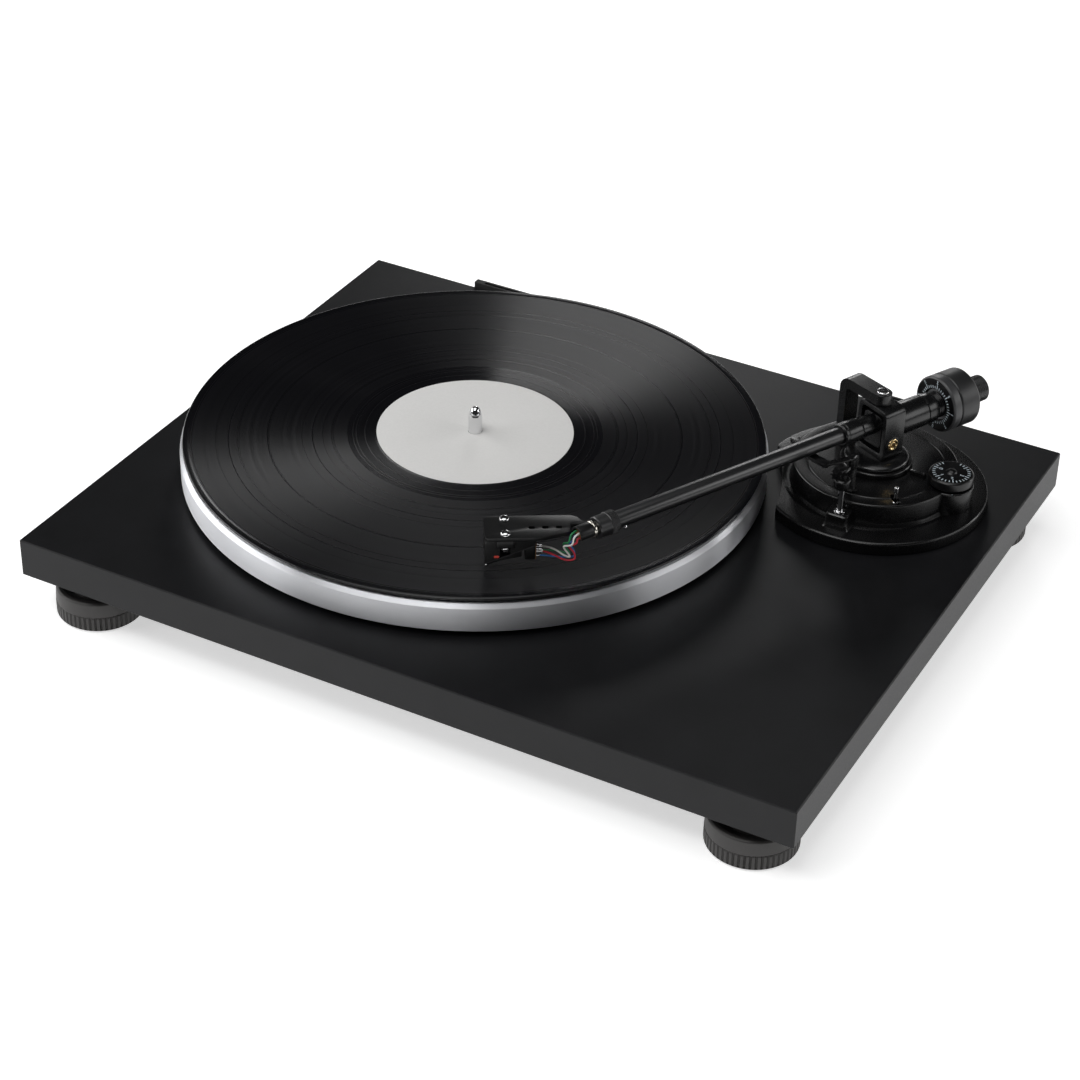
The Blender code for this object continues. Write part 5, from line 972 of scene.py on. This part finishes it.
def make_cartridge():
    top = TOP_Z + 42.0
    chin, heel, heel_x = TOP_Z + 27.3, TOP_Z + 37.1, 13.8
    outline = [(-9.8, chin), (heel_x, heel), (14.5, heel), (14.5, top), (-8.4, top), (-9.8, top - 3.4)]
    core = upright(slab([rounded(outline, 1.0, True, 4)], -6.2, 6.2, edge=0.5))
    ears = block((-4.5, 4.5), (-8.9, 8.9), (top - 4.2, top), edge=0.5, radius=1.2)
    seats = [moved(turned(post(2.5, heel - 8, top - 4.2), 32, edge=0), 0, side * 6.35) for side in (-1, 1)]
    bores = [moved(turned(post(1.4, heel - 10, top + 3), 24, edge=0), 0, side * 6.35) for side in (-1, 1)]
    block_low = TOP_Z + 28.6
    pin_block = block((9.4, 14.5), (-4.6, 4.6), (block_low, heel + 2), edge=0.4, radius=0.6)
    body = merged(carved(core, *seats, *bores), carved(ears, *[bore.copy() for bore in bores]), pin_block)
    piece("cartridge_body", body, "headshell_group", SHELL_BLACK, SHELL, ("cartridge_body",), sharp=40)
    seam = upright(slab([[(-9.7, chin + 0.1), (heel_x, heel + 0.1), (heel_x, heel + 0.55),
                          (-9.7, chin + 0.55)]],
                        -6.3, 6.3, edge=0))
    piece("cartridge_seam", seam, "headshell_group", COLLAR, SHELL)
    strip = block((14.4, 14.9), (-4.6, 4.6), (block_low + 0.2, heel + 0.8), edge=0.1, radius=0.2)
    piece("cartridge_strip", strip, "headshell_group", INSULATOR, SHELL)
    dot = upright(slab([rectangle(-5.4, -2.9, chin + 3.6, chin + 4.9, 0.6)], 6.15, 6.32, edge=0.05))
    piece("cartridge_mark", dot, "headshell_group", RED_MARK, SHELL)
    slope = (heel - chin) / (heel_x + 9.8)
    front, back = -8.8, 8.0

    def under(x):
        return chin + (x + 9.8) * slope

    holder = upright(slab([rounded([(front, under(front) - 1.9), (front + 7, under(front + 7) - 2.4),
                                    (back, under(back) - 4.5), (back, under(back) - 0.3),
                                    (front, under(front) - 0.3)],
                                   0.6, True)], -4.4, 4.4, edge=0.4))
    root, tip = Vector((front + 6, 0, under(front) - 2.6)), Vector((-9.4, 0, RECORD_TOP + 1.2))
    cantilever = rod([root + (root - tip) * 0.15, tip], 0.3)
    point = moved(turned([(0, 1.2), (0.4, 1.2), (0.4, 0.7), (0.1, 0), (0, 0)], 16, edge=0.03), tip.x + 0.2, 0,
                  RECORD_TOP + 0.3)
    piece("stylus_assembly", merged(holder, point), "headshell_group", DIAL_BLACK, SHELL,
          ("stylus_assembly",))
    piece("stylus_cantilever", cantilever, "headshell_group", CHROME, SHELL)
    for node, side in (("left", 1), ("right", -1)):
        shell_top = TOP_Z + 44.4
        screw = turned([(0, shell_top + 1.7), (1.4, shell_top + 1.65), (2.2, shell_top + 1.2),
                        (2.5, shell_top + 0.6),
                        (2.5, shell_top), (1.2, shell_top), (1.2, low("cartridge_screw_left").z),
                        (0, low("cartridge_screw_left").z)], 56, edge=0.2)
        slot = block((-4, 4), (-0.3, 0.3), (shell_top + 0.8, shell_top + 3), edge=0, radius=0.01)
        head = moved(carved(screw, moved(slot, heading=25 * side)), 0, side * 6.35)
        piece("cartridge_screw_" + node, head, "headshell_group", CHROME, SHELL, ("cartridge_screw_" + node,))
        lo, hi = low("cartridge_nut_" + node).z, high("cartridge_nut_" + node).z
        nut = softened(turned(ring_profile(1.3, 2.25, lo, hi), 6, edge=0), 0.15, 2, 50)
        piece("cartridge_nut_" + node, moved(nut, 0, side * 6.35), "headshell_group", CHROME, SHELL,
              ("cartridge_nut_" + node,))


def lead_stations():
    """The route of the bundle of leads, from the cartridge's pins to the headshell's plug.

    Each station is a point with the two directions in which the four leads spread around it.
    """
    spacing = 1.3
    out = heading_vector(ARM_HEADING - SHELL_HEADING)
    across, ahead = Vector((-out.y, out.x, 0)) * spacing, -out * spacing
    down, near, right = Vector((0, 0, -spacing)), Vector((0, -spacing, 0)), Vector((spacing, 0, 0))
    socket = Vector((SHELL_BACK, SHELL_SIDE, TUBE_Z)) + out * 8.6
    pin = Vector((14.6, 0, TOP_Z + 30.6))
    lane, row = Vector((0, -2.2, 0)), Vector((0, 0, 1.1))
    return [(pin, lane, row), (pin + Vector((4.2, -0.2, 0)), lane, row),
            (pin + Vector((9.0, -1.6, -0.3)), (near + down) * 0.8, (near - down) * 0.8),
            (pin + Vector((13.9, -3.6, -1.0)), down + right * 0.15, near),
            (pin + Vector((17.2, -4.6, -0.6)), right * 0.85 + down * 0.55, near),
            (pin + Vector((17.0, -4.8, 1.9)), right * 0.95 - down * 0.3, near),
            (pin + Vector((15.0, -4.9, 5.0)), right * 0.9 - down * 0.4, near),
            (pin + Vector((14.6, -5.8, 7.0)), right, near),
            (socket + out * 3.4 - Vector((0, 0, 3.6)), ahead, across),
            (socket + out * 2.4 - Vector((0, 0, 0.9)), (ahead + down) * 0.7, across),
            (socket + out, down, across), (socket, down, across)]


def make_leads():
    lanes = {"lead_white": (-1, 1), "lead_red": (1, 1), "lead_green": (-1, -1), "lead_blue": (1, -1)}
    for name, (u, v) in lanes.items():
        route = [point + along * u + over * v for point, along, over in lead_stations()]
        piece(name, rod(smooth(route, 8), 0.45, 14), "headshell_group", LEADS[name], SHELL, (name,))
        clip = rod([route[0] + Vector((-0.4, 0, 0)), route[0] + Vector((3.4, 0, 0))], 0.62, 14)
        piece(name + "_clip", clip, "headshell_group", CHROME, SHELL)


# Floor, light and camera


def make_floor():
    mesh = bpy.data.meshes.new("floor")
    shape = bmesh.new()
    bmesh.ops.create_grid(shape, x_segments=1, y_segments=1, size=9.0)
    shape.to_mesh(mesh)
    shape.free()
    floor = bpy.data.objects.new("floor", mesh)
    bpy.context.scene.collection.objects.link(floor)
    material, nodes, links, shader = new_material("Pale floor", 0.9, 0.0, Specular_IOR_Level=0.1)
    coordinates = nodes.new("ShaderNodeTexCoord").outputs["Object"]
    tint = noise_node(nodes, links, coordinates, 300.0)
    pale = blended(nodes, links, tint.outputs["Fac"], (0.90, 0.90, 0.90), (0.92, 0.92, 0.92))
    links.new(pale, shader.inputs["Base Color"])
    links.new(pale, shader.inputs["Emission Color"])
    shader.inputs["Emission Strength"].default_value = FLOOR_GLOW
    mesh.materials.append(material)


def area_light(name, azimuth, elevation, distance, size, power):
    """A softbox aimed at the platter, placed by azimuth from the front, elevation and distance in metres."""
    data = bpy.data.lights.new(name, "AREA")
    data.shape = "RECTANGLE"
    data.size, data.size_y = size
    data.energy = power
    light = bpy.data.objects.new(name, data)
    bpy.context.scene.collection.objects.link(light)
    turn, rise = math.radians(azimuth), math.radians(elevation)
    towards = Vector((math.sin(turn) * math.cos(rise), -math.cos(turn) * math.cos(rise), math.sin(rise)))
    light.location = towards * distance
    light.rotation_euler = towards.to_track_quat("Z", "Y").to_euler()


def make_lights():
    world = bpy.data.worlds.new("Studio")
    bpy.context.scene.world = world
    world.use_nodes = True
    world.node_tree.nodes["Background"].inputs["Color"].default_value = (1, 1, 1, 1)
    world.node_tree.nodes["Background"].inputs["Strength"].default_value = WORLD_GLOW
    area_light("overhead", -20, 84, 2.4, (2.0, 2.0), 18)
    area_light("front_high", -12, 58, 2.4, (2.0, 0.5), 13)
    area_light("left_wall", -74, 22, 2.4, (3.0, 1.0), 34)
    area_light("right_wall", 104, 24, 2.4, (1.2, 1.0), 8)
    area_light("streak_back", 203, 20, 2.6, (0.5, 0.5), 4.5)
    area_light("streak_right", 135, 20, 2.6, (0.5, 0.5), 6.0)


def make_camera():
    azimuth, elevation, roll, distance = 27.713, 34.006, 1.455, 1357.344
    target = Vector((12.52, -44.89, TOP_Z))
    a, e, r = math.radians(azimuth), math.radians(elevation), math.radians(roll)
    back = Vector((math.sin(a) * math.cos(e), -math.cos(a) * math.cos(e), math.sin(e)))
    right = Vector((math.cos(a), math.sin(a), 0))
    up = back.cross(right)
    side, over = right * math.cos(r) + up * math.sin(r), up * math.cos(r) - right * math.sin(r)
    data = bpy.data.cameras.new("camera")
    data.lens = 90.33
    data.sensor_width = 36.0
    data.clip_end = 50
    camera = bpy.data.objects.new("camera", data)
    bpy.context.scene.collection.objects.link(camera)
    turn = Matrix((side, over, back)).transposed().to_4x4()
    camera.matrix_world = Matrix.Translation((target + back * distance) * MM) @ turn
    bpy.context.scene.camera = camera


make_camera()
make_plinth()
for key in ("front_left", "front_right", "rear_left", "rear_right"):
    make_foot("foot_" + key[0] + key.split("_")[1][0], "foot_" + key)
for socket_name in ("hinge_socket_left", "hinge_socket_right"):
    make_hinge_socket(socket_name)
make_connectors()
make_speed_knob()
make_platter()
make_record()
make_arm_base()
make_rest(make_pedestal())
make_lift()
make_arch()
make_bias_dial()
make_yoke()
make_hub()
make_counterweight()
make_lock()
make_headshell()
make_cartridge()
make_leads()
make_floor()
make_lights()
bpy.context.scene.view_settings.view_transform = "Standard"
